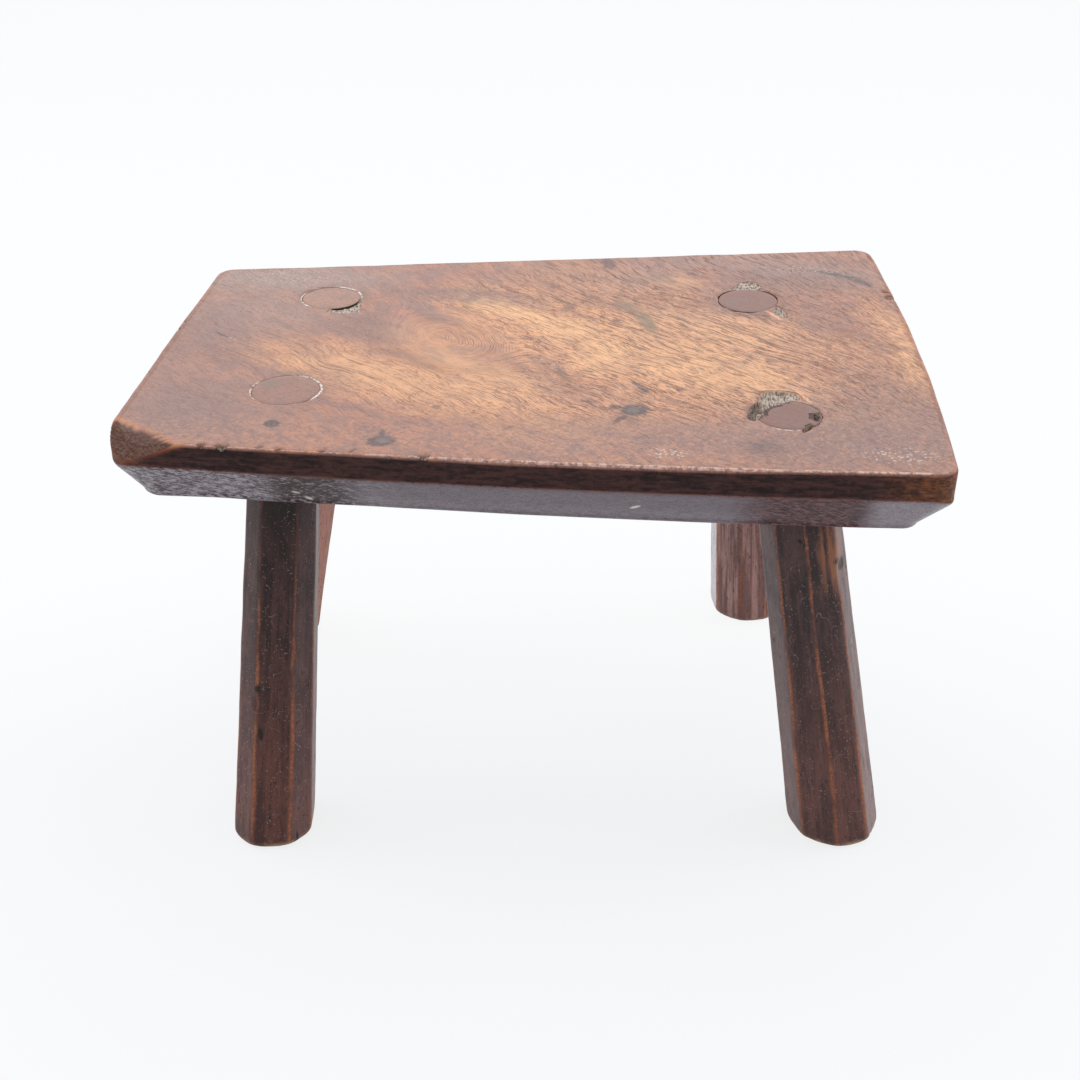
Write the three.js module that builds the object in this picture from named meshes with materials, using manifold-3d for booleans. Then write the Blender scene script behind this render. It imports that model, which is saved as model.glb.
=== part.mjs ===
// A small country stool. One thick plank is the seat, and four splayed, tapered, eight-sided legs
// pass through it on round tenons that are trimmed level with its top.
// Millimetres, +Z up, +X along the seat to the viewer's right, -Y to the front.
// The origin is on the floor, under the middle of the stool's box.

import * as THREE from 'three';
import { mergeVertices } from 'three/addons/utils/BufferGeometryUtils.js';
import Module from 'manifold-3d';

const wasm = await Module();
wasm.setup();

// Seat: its main sizes. Length and depth are about those of a box round the plank, and the corners
// and the tenons take their places from them
const SEAT_LENGTH = 390;
const SEAT_DEPTH = 286;
const SEAT_TOP = 226;
const SEAT_THICKNESS = 34;
const TOP_EASE = 3.5; // worn rounding of the top edge
const ARRIS_EASE = 1.2; // worn flat between the band and the under-bevel

// Seat: the corners of its outline, before rounding, as shares of the length and the depth from the
// middle of the plank
const CORNERS = {
  frontLeft: { along: -0.504, across: -0.385, radius: 20 },
  frontRight: { along: 0.49, across: -0.484, radius: 11 },
  backRight: { along: 0.499, across: 0.514, radius: 10 },
  backLeft: { along: -0.469, across: 0.383, radius: 10 },
};
const UNDER_CORNER_RADIUS = 6; // rounding of the underside's corners

// Seat: how far each side swells past a straight line, the height of its upright band, from the
// top down to the under-bevel, and how far that bevel runs in
const SIDES = {
  front: { bow: 4, band: 13.5, bevel: 12.5 },
  right: { bow: 4.5, band: 19, bevel: 15 },
  back: { bow: 0, band: 13.5, bevel: 12.5 },
  left: { bow: 0.5, band: 18, bevel: 18 },
};

// Seat: the flat worn off its front left corner, measured from the corner before rounding
const WORN_CORNER = { alongFront: 38, alongLeft: 25, down: 17.5 };

// Seat: the shallow hollow where wood broke out behind one tenon, measured from the tenon's middle
const BREAK_OUT = { leg: 'leg_front_right', x: -6, y: 15, length: 30, width: 24, depth: 4, turn: 25 };

// Legs: the usual sizes
const TENON_DIAMETER = 32;
const LEG_TOP_WIDTH = 36; // across the flats at the underside of the seat
const LEG_FOOT_WIDTH = 43; // across the flats on the floor

// Legs: where each tenon comes through the seat, as the corners are placed; its lean from the
// tenon down to the foot in degrees, to the right and to the back; its sizes as shares of the
// usual ones; the share of its width taken off each corner of the square; its turn about its line
const LEGS = {
  leg_front_left: {
    tenon: { along: -0.304, across: -0.189 },
    lean: { right: -4.05, back: -13.55 },
    size: { tenon: 1.03, top: 0.953, foot: 0.93 },
    cornerShare: 0.25,
    turn: 3,
  },
  leg_front_right: {
    tenon: { along: 0.3115, across: -0.2745 },
    lean: { right: 9.4, back: -5.8 },
    size: { tenon: 0.97, top: 1, foot: 1.012 },
    cornerShare: 0.292,
    turn: 17,
  },
  leg_back_left: {
    tenon: { along: -0.2885, across: 0.229 },
    lean: { right: -12.1, back: 3.7 },
    size: { tenon: 0.97, top: 0.986, foot: 1 },
    cornerShare: 0.291,
    turn: 10,
  },
  leg_back_right: {
    tenon: { along: 0.296, across: 0.2255 },
    lean: { right: 4.3, back: 11.6 },
    size: { tenon: 1, top: 1.014, foot: 1.023 },
    cornerShare: 0.293,
    turn: 8,
  },
};
const LEG_SIDES = 8;
const NECK_LENGTH = 18; // where the eight sides are shaved round under the seat
const SHOULDER = 1.6; // ledge round the tenon that bears on the underside
const LEG_ARRIS = 1.1; // worn flat along each edge between two sides
const FOOT_EASE = 3; // worn rounding round the foot

// Clearances
const TENON_CLEARANCE = 0.3; // all round the tenon in its mortise
const SHOULDER_GAP = 0.3; // between the shoulder and the underside

// Smoothness of the curved stretches
const CORNER_STEPS = 7;
const SIDE_STEPS = 12;
const EASE_STEPS = 4;
const NECK_STEPS = 5;
const POINTS_PER_FLAT = 6;
const HOLLOW_STEPS = 20;
const PAST = 6; // how far a cutting shape reaches past the faces that it cuts

const SEAT_WOOD = new THREE.MeshStandardMaterial({
  color: '#a5663f',
  roughness: 0.42,
  metalness: 0,
  flatShading: true,
});
const LEG_WOOD = new THREE.MeshStandardMaterial({
  color: '#4b2f24',
  roughness: 0.5,
  metalness: 0,
  flatShading: true,
});

const UNDERSIDE = SEAT_TOP - SEAT_THICKNESS;

// A place on the seat, in millimetres from the middle of the plank
function placeOnSeat({ along, across }) {
  return new THREE.Vector2(along * SEAT_LENGTH, across * SEAT_DEPTH);
}

// A closed solid skinned over level rings, lowest first, each with as many points, anticlockwise
function skin(rings) {
  const around = rings[0].length;
  const points = rings.flat();
  const faces = [];
  for (let ring = 0; ring + 1 < rings.length; ring += 1) {
    for (let k = 0; k < around; k += 1) {
      const low = ring * around + k;
      const lowNext = ring * around + ((k + 1) % around);
      faces.push(low, lowNext, lowNext + around, low, lowNext + around, low + around);
    }
  }
  const last = (rings.length - 1) * around;
  const bottomMiddle = points.push(middleOf(rings[0])) - 1;
  const topMiddle = points.push(middleOf(rings.at(-1))) - 1;
  for (let k = 0; k < around; k += 1) {
    const next = (k + 1) % around;
    faces.push(bottomMiddle, next, k);
    faces.push(topMiddle, last + k, last + next);
  }
  const geometry = new THREE.BufferGeometry().setFromPoints(points);
  geometry.setIndex(faces);
  geometry.computeVertexNormals();
  return geometry;
}

function middleOf(ring) {
  const sum = new THREE.Vector3();
  ring.forEach((point) => sum.add(point));
  return sum.divideScalar(ring.length);
}

// Joining and cutting

function solidOf(geometry) {
  const bare = geometry.clone();
  bare.deleteAttribute('normal');
  bare.deleteAttribute('uv');
  const merged = mergeVertices(bare);
  return new wasm.Manifold(
    new wasm.Mesh({
      numProp: 3,
      vertProperties: new Float32Array(merged.attributes.position.array),
      triVerts: new Uint32Array(merged.index.array),
    }),
  );
}

function geometryOf(solid) {
  const mesh = solid.getMesh();
  const geometry = new THREE.BufferGeometry();
  geometry.setAttribute('position', new THREE.BufferAttribute(mesh.vertProperties, mesh.numProp));
  geometry.setIndex(new THREE.BufferAttribute(mesh.triVerts, 1));
  geometry.computeVertexNormals();
  return geometry;
}

// Seat

// The four sides in anticlockwise order, each from one corner to the next
const FRONT = { from: CORNERS.frontLeft, to: CORNERS.frontRight, ...SIDES.front };
const RIGHT = { from: CORNERS.frontRight, to: CORNERS.backRight, ...SIDES.right };
const BACK = { from: CORNERS.backRight, to: CORNERS.backLeft, ...SIDES.back };
const LEFT = { from: CORNERS.backLeft, to: CORNERS.frontLeft, ...SIDES.left };
const SEAT_SIDES = [FRONT, RIGHT, BACK, LEFT];

// A side's start and direction once it has moved in by inset
function sideLine(side, inset) {
  const start = placeOnSeat(side.from);
  const along = placeOnSeat(side.to).sub(start).normalize();
  const inward = new THREE.Vector2(-along.y, along.x);
  return { start: start.addScaledVector(inward, inset), along };
}

function crossing(first, second) {
  const gap = second.start.clone().sub(first.start);
  const distance = gap.cross(second.along) / first.along.cross(second.along);
  return first.start.clone().addScaledVector(first.along, distance);
}

// The arc that rounds the corner between two sides, from the first to the second
function cornerArc(before, after, radius) {
  const corner = crossing(before, after);
  const turn = Math.acos(before.along.dot(after.along));
  const centre = corner
    .clone()
    .addScaledVector(before.along, -radius * Math.tan(turn / 2))
    .addScaledVector(new THREE.Vector2(-before.along.y, before.along.x), radius);
  const startAngle = Math.atan2(before.along.y, before.along.x) - Math.PI / 2;
  return Array.from({ length: CORNER_STEPS + 1 }, (_, step) => {
    const angle = startAngle + (turn * step) / CORNER_STEPS;
    return new THREE.Vector2(Math.cos(angle), Math.sin(angle)).multiplyScalar(radius).add(centre);
  });
}

// The points between two arcs, on a parabola that stands out past the straight line by the side's
// bow half way along
function swollenSide(start, end, bow) {
  const along = end.clone().sub(start).normalize();
  const outward = new THREE.Vector2(along.y, -along.x);
  return Array.from({ length: SIDE_STEPS - 1 }, (_, step) => {
    const share = (step + 1) / SIDE_STEPS;
    return start
      .clone()
      .lerp(end, share)
      .addScaledVector(outward, bow * 4 * share * (1 - share));
  });
}

// The seat's level outline at height z, with each side and corner as the two functions say
function seatRing(z, insetOf, radiusOf) {
  const lines = SEAT_SIDES.map((side) => sideLine(side, insetOf(side)));
  const arcs = lines.map((line, k) => cornerArc(lines.at(k - 1), line, radiusOf(SEAT_SIDES[k].from)));
  const outline = arcs.flatMap((arc, k) => {
    const nextArc = arcs[(k + 1) % arcs.length];
    return [...arc, ...swollenSide(arc.at(-1), nextArc[0], SEAT_SIDES[k].bow)];
  });
  return outline.map((point) => new THREE.Vector3(point.x, point.y, z));
}

// How far a side has run in at height z: not at all on its band, then evenly down its bevel
function bevelInset(side, z) {
  const bandFoot = SEAT_TOP - side.band;
  return side.bevel * Math.max(0, bandFoot - z) / (bandFoot - UNDERSIDE);
}

function plank() {
  const bandFeet = [...new Set(SEAT_SIDES.map((side) => SEAT_TOP - side.band))].sort((a, b) => a - b);
  const bevels = bandFeet.flatMap((z) => [z - ARRIS_EASE, z + ARRIS_EASE]);
  const easedTop = Array.from({ length: EASE_STEPS + 1 }, (_, step) => {
    const angle = (step / EASE_STEPS) * (Math.PI / 2);
    const inset = TOP_EASE * (1 - Math.cos(angle));
    const z = SEAT_TOP - TOP_EASE * (1 - Math.sin(angle));
    return seatRing(z, () => inset, (corner) => corner.radius - inset);
  });
  return skin([
    seatRing(UNDERSIDE, (side) => side.bevel, () => UNDER_CORNER_RADIUS),
    ...bevels.map((z) => seatRing(z, (side) => bevelInset(side, z), (corner) => corner.radius)),
    ...easedTop,
  ]);
}

// The point at a distance from a corner along one of its sides
function alongSide(corner, side, distance) {
  const { along } = sideLine(side, 0);
  return corner.clone().add(new THREE.Vector3(along.x, along.y, 0).multiplyScalar(distance));
}

// A block whose lower face is the sloping flat on the front left corner
function wornCornerBlock() {
  const place = placeOnSeat(CORNERS.frontLeft);
  const corner = new THREE.Vector3(place.x, place.y, SEAT_TOP);
  const onFront = alongSide(corner, FRONT, WORN_CORNER.alongFront);
  const onLeft = alongSide(corner, LEFT, -WORN_CORNER.alongLeft);
  const below = corner.clone().setZ(SEAT_TOP - WORN_CORNER.down);
  const flat = new THREE.Plane().setFromCoplanarPoints(onFront, onLeft, below);
  const outward = flat.normal.z > 0 ? flat.normal : flat.normal.clone().negate();
  const size = WORN_CORNER.alongFront + WORN_CORNER.alongLeft + WORN_CORNER.down;
  const block = new THREE.BoxGeometry(size, size, size);
  block.translate(0, 0, size / 2);
  block.applyQuaternion(new THREE.Quaternion().setFromUnitVectors(new THREE.Vector3(0, 0, 1), outward));
  const middle = middleOf([onFront, onLeft, below]);
  block.translate(middle.x, middle.y, middle.z);
  return block;
}

// A flattened ball whose lower half is the hollow behind the tenon
function breakOutBall() {
  const tenon = placeOnSeat(LEGS[BREAK_OUT.leg].tenon);
  const ball = new THREE.SphereGeometry(1, HOLLOW_STEPS, HOLLOW_STEPS / 2);
  ball.rotateX(Math.PI / 2);
  ball.scale(BREAK_OUT.length / 2, BREAK_OUT.width / 2, BREAK_OUT.depth);
  ball.rotateZ(THREE.MathUtils.degToRad(BREAK_OUT.turn));
  ball.translate(tenon.x + BREAK_OUT.x, tenon.y + BREAK_OUT.y, SEAT_TOP);
  return ball;
}

// Legs

function tenonDiameter(leg) {
  return TENON_DIAMETER * leg.size.tenon;
}

function legSectionWidth(leg, z) {
  const footWidth = LEG_FOOT_WIDTH * leg.size.foot;
  const topWidth = LEG_TOP_WIDTH * leg.size.top;
  return THREE.MathUtils.mapLinear(z, 0, UNDERSIDE, footWidth, topWidth);
}

// How far a leg's foot stands off its tenon's middle, from its lean
function footOffset(leg) {
  const [right, back] = [leg.lean.right, leg.lean.back].map((degrees) => {
    return SEAT_TOP * Math.tan(THREE.MathUtils.degToRad(degrees));
  });
  return new THREE.Vector2(right, back);
}

// The eight corners of the section: a square with its corners taken off, turned about its middle
function eightCorners(width, corner, turnDegrees) {
  const half = width / 2;
  const turn = THREE.MathUtils.degToRad(turnDegrees);
  const origin = new THREE.Vector2();
  return Array.from({ length: LEG_SIDES }, (_, k) => {
    const side = k % 2 === 0 ? -1 : 1;
    const quarter = Math.floor(k / 2) * (Math.PI / 2);
    return new THREE.Vector2(side * (half - corner), -half).rotateAround(origin, turn + quarter);
  });
}

// Points round the eight sides, starting and ending each side clear of its worn edges
function eightSidedSection(width, corner, turnDegrees) {
  const corners = eightCorners(width, corner, turnDegrees);
  return corners.flatMap((start, k) => {
    const end = corners[(k + 1) % corners.length];
    const edge = LEG_ARRIS / 2 / start.distanceTo(end);
    return Array.from({ length: POINTS_PER_FLAT }, (_, step) => {
      const share = THREE.MathUtils.lerp(edge, 1 - edge, step / (POINTS_PER_FLAT - 1));
      return start.clone().lerp(end, share);
    });
  });
}

// The same points pushed out or in to a circle
function roundSection(section, diameter) {
  return section.map((point) => point.clone().setLength(diameter / 2));
}

// A section across the leg, laid level at height z on the leaning centre line: a level cut through
// a leaning leg is its square cut, stretched along the lean
function levelRing(leg, z, section) {
  const offset = footOffset(leg);
  const centre = placeOnSeat(leg.tenon).addScaledVector(offset, 1 - z / SEAT_TOP);
  const stretch = Math.hypot(offset.length(), SEAT_TOP) / SEAT_TOP;
  const along = offset.normalize();
  return section.map((point) => {
    const level = point.clone().addScaledVector(along, point.dot(along) * (stretch - 1));
    return new THREE.Vector3(centre.x + level.x, centre.y + level.y, z);
  });
}

function sectionAt(leg, z) {
  const width = legSectionWidth(leg, z);
  return eightSidedSection(width, width * leg.cornerShare, leg.turn);
}

function legGeometry(leg) {
  const shoulder = UNDERSIDE - SHOULDER_GAP;
  const neckFoot = shoulder - NECK_LENGTH;
  const foot = Array.from({ length: EASE_STEPS + 1 }, (_, step) => {
    const angle = (step / EASE_STEPS) * (Math.PI / 2);
    const z = FOOT_EASE * (1 - Math.cos(angle));
    const inset = FOOT_EASE * (1 - Math.sin(angle));
    const section = sectionAt(leg, z).map((point) => point.setLength(point.length() - inset));
    return levelRing(leg, z, section);
  });
  const neckDiameter = tenonDiameter(leg) + 2 * SHOULDER;
  const neck = Array.from({ length: NECK_STEPS + 1 }, (_, step) => {
    const share = THREE.MathUtils.smoothstep(step, 0, NECK_STEPS);
    const z = neckFoot + (NECK_LENGTH * step) / NECK_STEPS;
    const section = sectionAt(leg, z);
    const round = roundSection(section, neckDiameter);
    return levelRing(leg, z, section.map((point, k) => point.lerp(round[k], share)));
  });
  const tenon = roundSection(sectionAt(leg, shoulder), tenonDiameter(leg));
  return skin([...foot, ...neck, levelRing(leg, shoulder, tenon), levelRing(leg, SEAT_TOP, tenon)]);
}

// The hole that the tenon passes through, with its clearance
function mortise(leg) {
  const hole = roundSection(sectionAt(leg, UNDERSIDE), tenonDiameter(leg) + 2 * TENON_CLEARANCE);
  return skin([levelRing(leg, UNDERSIDE - PAST, hole), levelRing(leg, SEAT_TOP + PAST, hole)]);
}

function seatGeometry() {
  const cuts = [wornCornerBlock(), breakOutBall(), ...Object.values(LEGS).map(mortise)];
  const seat = cuts.reduce((solid, cut) => solid.subtract(solidOf(cut)), solidOf(plank()));
  return geometryOf(seat);
}

// The assembly

function piece(name, geometry, material) {
  const mesh = new THREE.Mesh(geometry, material);
  mesh.name = name;
  return mesh;
}

const stool = new THREE.Group();
stool.add(piece('seat', seatGeometry(), SEAT_WOOD));
for (const [name, leg] of Object.entries(LEGS)) {
  stool.add(piece(name, legGeometry(leg), LEG_WOOD));
}

const box = new THREE.Box3().setFromObject(stool);
stool.position.set(-(box.min.x + box.max.x) / 2, -(box.min.y + box.max.y) / 2, 0);

export default stool;
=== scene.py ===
import math
from collections import namedtuple

import bpy
import numpy as np
from mathutils import Matrix


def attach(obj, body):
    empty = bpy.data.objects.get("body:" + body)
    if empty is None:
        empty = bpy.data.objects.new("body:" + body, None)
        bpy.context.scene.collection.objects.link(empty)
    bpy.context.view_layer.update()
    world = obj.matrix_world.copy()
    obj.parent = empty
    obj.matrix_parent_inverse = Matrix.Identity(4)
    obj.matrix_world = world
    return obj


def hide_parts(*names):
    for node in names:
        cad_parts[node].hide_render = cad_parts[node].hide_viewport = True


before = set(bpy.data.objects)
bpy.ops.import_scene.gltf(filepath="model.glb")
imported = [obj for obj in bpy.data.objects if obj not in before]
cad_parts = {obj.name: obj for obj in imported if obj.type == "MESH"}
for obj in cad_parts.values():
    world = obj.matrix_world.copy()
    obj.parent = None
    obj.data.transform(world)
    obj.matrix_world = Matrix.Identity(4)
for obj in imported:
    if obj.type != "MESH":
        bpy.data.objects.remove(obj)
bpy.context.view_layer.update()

# A small country stool: an elm plank on four splayed eight-sided legs.
# Sizes are in millimetres from the middle of the plank, as in the part's source, and SHIFT takes them
# to the frame. Meshes are made in metres.

MM = 0.001
SHIFT = np.array([-1.0845, -4.1637, 0.0])

# Seat: sizes as in the part's source
SEAT_LENGTH = 390
SEAT_DEPTH = 286
SEAT_TOP = 226
THICKNESS = 34
# Thickness of the real plank towards its left and right ends
THICKNESS_PLACES = (-190, 190)
THICKNESSES = (33.2, 35)
# Corners as shares of the length and depth, with the radius of their rounding
CORNERS = {
    "front_left": (-0.504, -0.385, 20),
    "front_right": (0.49, -0.484, 11),
    "back_right": (0.499, 0.514, 10),
    "back_left": (-0.469, 0.383, 10),
}
UNDER_CORNER_RADIUS = 6
# The sides from corner to corner: how far each bows out, its upright band at the start and the end,
# the run of its under-bevel, the easing of its top edge at the start and the end, points along it
Side = namedtuple("Side", "start end bow band bevel ease points")
SIDES = [
    Side("front_left", "front_right", 4, (13.2, 14.6), 12.5, (1.3, 1.6), 290),
    Side("front_right", "back_right", 4.5, (19, 19), 15, (3.6, 3.5), 150),
    Side("back_right", "back_left", 0, (13.5, 13.5), 12.5, (3.0, 3.0), 180),
    Side("back_left", "front_left", 0.5, (18, 18), 18, (3.5, 3.2), 130),
]
CORNER_STEPS = 18
UNDER_EDGE_ROUNDING = 1.8
BAND_FOOT_ROUNDING = 2.2
WORN_CORNER = {"along_front": 38, "along_left": 25, "down": 17.5}
# Towards the worn corner the bevel runs out: the share it loses, and from where to where
BEVEL_LOSS = 0.17
BEVEL_LOSS_REACH = (55, 12)
# Rings of points on the plank's surface, from the middle of its underside to the middle of its top
UNDERSIDE_SHARES = np.linspace(0.95, 0.08, 10)
TOP_SHARES = np.linspace(0, 1, 40)[1:-1] ** 1.35
UNDER_EDGE_RINGS, BEVEL_RINGS, BAND_FOOT_RINGS, BAND_RINGS, TOP_EDGE_RINGS = 5, 19, 6, 8, 8

# Legs: tenon as shares of the seat, lean to the right and to the back, tenon diameter, widths at the
# seat and the floor, share taken off each corner, turn
Leg = namedtuple("Leg", "tenon lean diameter top_width foot_width corner_share turn")
LEGS = {
    "leg_front_left": Leg((-0.304, -0.189), (-4.05, -13.55), 32.96, 34.3, 40.0, 0.25, 3),
    "leg_front_right": Leg((0.3115, -0.2745), (9.4, -5.8), 31.04, 36.0, 43.5, 0.292, 17),
    "leg_back_left": Leg((-0.2885, 0.229), (-12.1, 3.7), 31.04, 35.5, 43.0, 0.291, 10),
    "leg_back_right": Leg((0.296, 0.2255), (4.3, 11.6), 32.0, 36.5, 44.0, 0.293, 8),
}
# Paleness of the tenon's end, and of the eight sides from the front one round to the right
# the sides' values are partly their own tone and partly painted sheen: grey, or near-white above 2.2,
# where a side faces the bright background
TONES_AND_SHEEN = {
    "leg_front_left": (0.5, (0.0, 0.25, 0.5, 0.2, 0.1, 0.1, 0.4, 0.14)),
    "leg_front_right": (0.0, (0.05, 0.66, 0.4, 0.2, 0.1, 0.1, 0.35, 0.1)),
    "leg_back_left": (0.9, (1.6, 2.0, 2.0, 1.0, 0.3, 0.3, 0.5, 1.0)),
    "leg_back_right": (0.1, (1.27, 0.98, 0.4, 0.2, 0.2, 0.3, 3.0, 1.1)),
}
NECK_LENGTH = 18
SHOULDER = 1.6
SHOULDER_GAP = 0.4
FOOT_EASE = 4.5
FOOT_TOP = 14
SIDE_POINTS = 18
SOLE_SHARES = np.array([0.25, 0.5, 0.75, 0.92])[:, None, None]
# Rings that close the tenon's end, with their depth below it
END_SHARES = np.array([1.0, 0.985, 0.95, 0.8, 0.6, 0.4, 0.2])[:, None, None]
END_HEIGHTS = np.array([-0.5, -0.15, -0.03, 0, 0, 0, 0])[:, None]
# Further turn at the floor and just under the seat; a rough side and how rough it is, in mm
TWIST_HEIGHTS = (0, 190)
TWIST = {"leg_front_right": (3, 8)}
RUGGED = {"leg_front_right": (1, 0.35), "leg_back_right": (6, 0.2)}
# Dents: height, direction in degrees, length, width and depth
DENTS = {
    "leg_front_left": [(78, -113, 3, 1.6, 1.2), (52, -105, 4, 1.4, 0.9)],
    "leg_front_right": [(150, -35, 9, 5, 1.4)],
}


# Smooth noise in code, the same on every run

def hashed(x, y, z, seed):
    h = (x * 73856093) ^ (y * 19349663) ^ (z * 83492791) ^ np.int64(seed * 265443576)
    h = (h ^ (h >> 13)) * 1274126177
    h = (h ^ (h >> 16)) & 0xFFFF
    return h / 32767.5 - 1


def noise(points, size, seed):
    """Smooth noise from -1 to 1, with lumps about as wide as size, a number or one for each axis."""
    q = points / np.asarray(size, float)
    cell = np.floor(q).astype(np.int64)
    t = q - cell
    t = t * t * (3 - 2 * t)
    total = 0.0
    for dx in (0, 1):
        for dy in (0, 1):
            for dz in (0, 1):
                weight = 1.0
                for axis, d in enumerate((dx, dy, dz)):
                    weight = weight * (t[..., axis] if d else 1 - t[..., axis])
                corner = hashed(cell[..., 0] + dx, cell[..., 1] + dy, cell[..., 2] + dz, seed)
                total = total + weight * corner
    return total


def rough_noise(points, size, seed, octaves=3):
    total = 0.0
    for k in range(octaves):
        total = total + noise(points, np.asarray(size, float) / 2 ** k, seed + k) / 2 ** k
    return total / (2 - 2 ** (1 - octaves))


def smoothstep(x, low, high):
    t = np.clip((x - low) / (high - low), 0, 1)
    return t * t * (3 - 2 * t)


def unit(v):
    return v / np.linalg.norm(v, axis=-1, keepdims=True)


# Meshes

def ring_faces(count, around):
    """Faces of rings laid one above another, each with as many points, anticlockwise."""
    ring = np.arange(count - 1)[:, None] * around
    k = np.arange(around)[None, :]
    after = (k + 1) % around
    quads = np.stack([ring + k, ring + after, ring + around + after, ring + around + k], -1)
    low, high = count * around, count * around + 1
    last = (count - 1) * around
    k, after = k[0], after[0]
    bottom = np.stack([np.full(around, low), after, k], -1)
    top = np.stack([np.full(around, high), last + k, last + after], -1)
    return quads.reshape(-1, 4).tolist() + bottom.tolist() + top.tolist()


def lofted(name, rings, attributes):
    """A closed object skinned over rings in mm, with attribute values for each point of the rings."""
    count, around = rings.shape[:2]
    points = np.concatenate([rings.reshape(-1, 3), [rings[0].mean(0)], [rings[-1].mean(0)]])
    mesh = bpy.data.meshes.new(name)
    mesh.from_pydata(((points + SHIFT) * MM).tolist(), [], ring_faces(count, around))
    for key, values in attributes.items():
        values = np.broadcast_to(values, (count, around) + np.shape(values)[2:])
        if values.ndim == 3:
            flat = np.concatenate([values.reshape(-1, 3), [values[0].mean(0)], [values[-1].mean(0)]])
            layer = mesh.attributes.new(key, "FLOAT_VECTOR", "POINT")
            layer.data.foreach_set("vector", flat.astype(np.float32).ravel())
        else:
            flat = np.concatenate([values.ravel(), [values[0].mean()], [values[-1].mean()]])
            layer = mesh.attributes.new(key, "FLOAT", "POINT")
            layer.data.foreach_set("value", flat.astype(np.float32))
    mesh.polygons.foreach_set("use_smooth", np.ones(len(mesh.polygons), bool))
    thing = bpy.data.objects.new(name, mesh)
    bpy.context.collection.objects.link(thing)
    return thing


def cut(piece, tool):
    """Takes the tool's shape out of the piece, and drops the tool."""
    change = piece.modifiers.new("cut", "BOOLEAN")
    change.operation = "DIFFERENCE"
    change.solver = "MANIFOLD"
    change.object = tool
    graph = bpy.context.evaluated_depsgraph_get()
    mesh = bpy.data.meshes.new_from_object(piece.evaluated_get(graph))
    piece.modifiers.clear()
    old = piece.data
    piece.data = mesh
    bpy.data.meshes.remove(old)
    bpy.data.objects.remove(tool, do_unlink=True)


def ring_normals(rings):
    """Outward normals of lofted rings, from the directions along and across them."""
    around = np.roll(rings, -1, 1) - np.roll(rings, 1, 1)
    across = np.gradient(rings, axis=0)
    return unit(np.cross(around, across) + 1e-12)


# Seat

def place_on_seat(along, across):
    return np.array([along * SEAT_LENGTH, across * SEAT_DEPTH])


def corner_place(name):
    return place_on_seat(*CORNERS[name][:2])


def side_line(side, inset):
    """The side's start, its direction and the way inwards, when it is moved in by inset."""
    start = corner_place(side.start)
    along = unit(corner_place(side.end) - start)
    inward = np.array([-along[1], along[0]])
    return start + inward * inset, along, inward


def cross2(a, b):
    return a[0] * b[1] - a[1] * b[0]


def seat_outline(insets, radii):
    """The level outline with each side moved in and each corner rounded."""
    lines = [side_line(side, inset) for side, inset in zip(SIDES, insets)]
    arcs = []
    for k, (start, along, inward) in enumerate(lines):
        before_start, before_along, before_inward = lines[k - 1]
        distance = cross2(start - before_start, along) / cross2(before_along, along)
        corner = before_start + before_along * distance
        turn = math.acos(before_along @ along)
        centre = corner - before_along * radii[k] * math.tan(turn / 2) + before_inward * radii[k]
        first = math.atan2(before_along[1], before_along[0]) - math.pi / 2
        angle = first + turn * np.linspace(0, 1, CORNER_STEPS + 1)
        arcs.append(centre + radii[k] * np.stack([np.cos(angle), np.sin(angle)], -1))
    points = []
    for k, side in enumerate(SIDES):
        start, end = arcs[k][-1], arcs[(k + 1) % 4][0]
        along = unit(end - start)
        outward = np.array([along[1], -along[0]])
        share = np.arange(1, side.points)[:, None] / side.points
        bowed = outward * side.bow * 4 * share * (1 - share)
        points += [arcs[k], start + (end - start) * share + bowed]
    return np.concatenate(points)


def along_outline(values):
    """A value for each outline point from pairs of values, at each side's start and end."""
    run = []
    for k, side in enumerate(SIDES):
        before = values[k - 1][1]
        start, end = values[k]
        corner = smoothstep(np.linspace(0, 1, CORNER_STEPS + 1), 0, 1)
        share = np.arange(1, side.points) / side.points
        run += [before + (start - before) * corner, start + (end - start) * share]
    return np.concatenate(run)


def bend(start, corner, end, steps):
    """Points on a rounding from start to end that leans towards corner."""
    t = np.linspace(0, 1, steps)[:, None, None]
    return (1 - t) ** 2 * start + 2 * t * (1 - t) * corner + t ** 2 * end


def stretch(start, end, steps):
    """Points on the straight line between start and end, without the two."""
    t = np.linspace(0, 1, steps + 2)[1:-1, None, None]
    return start + (end - start) * t


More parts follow.
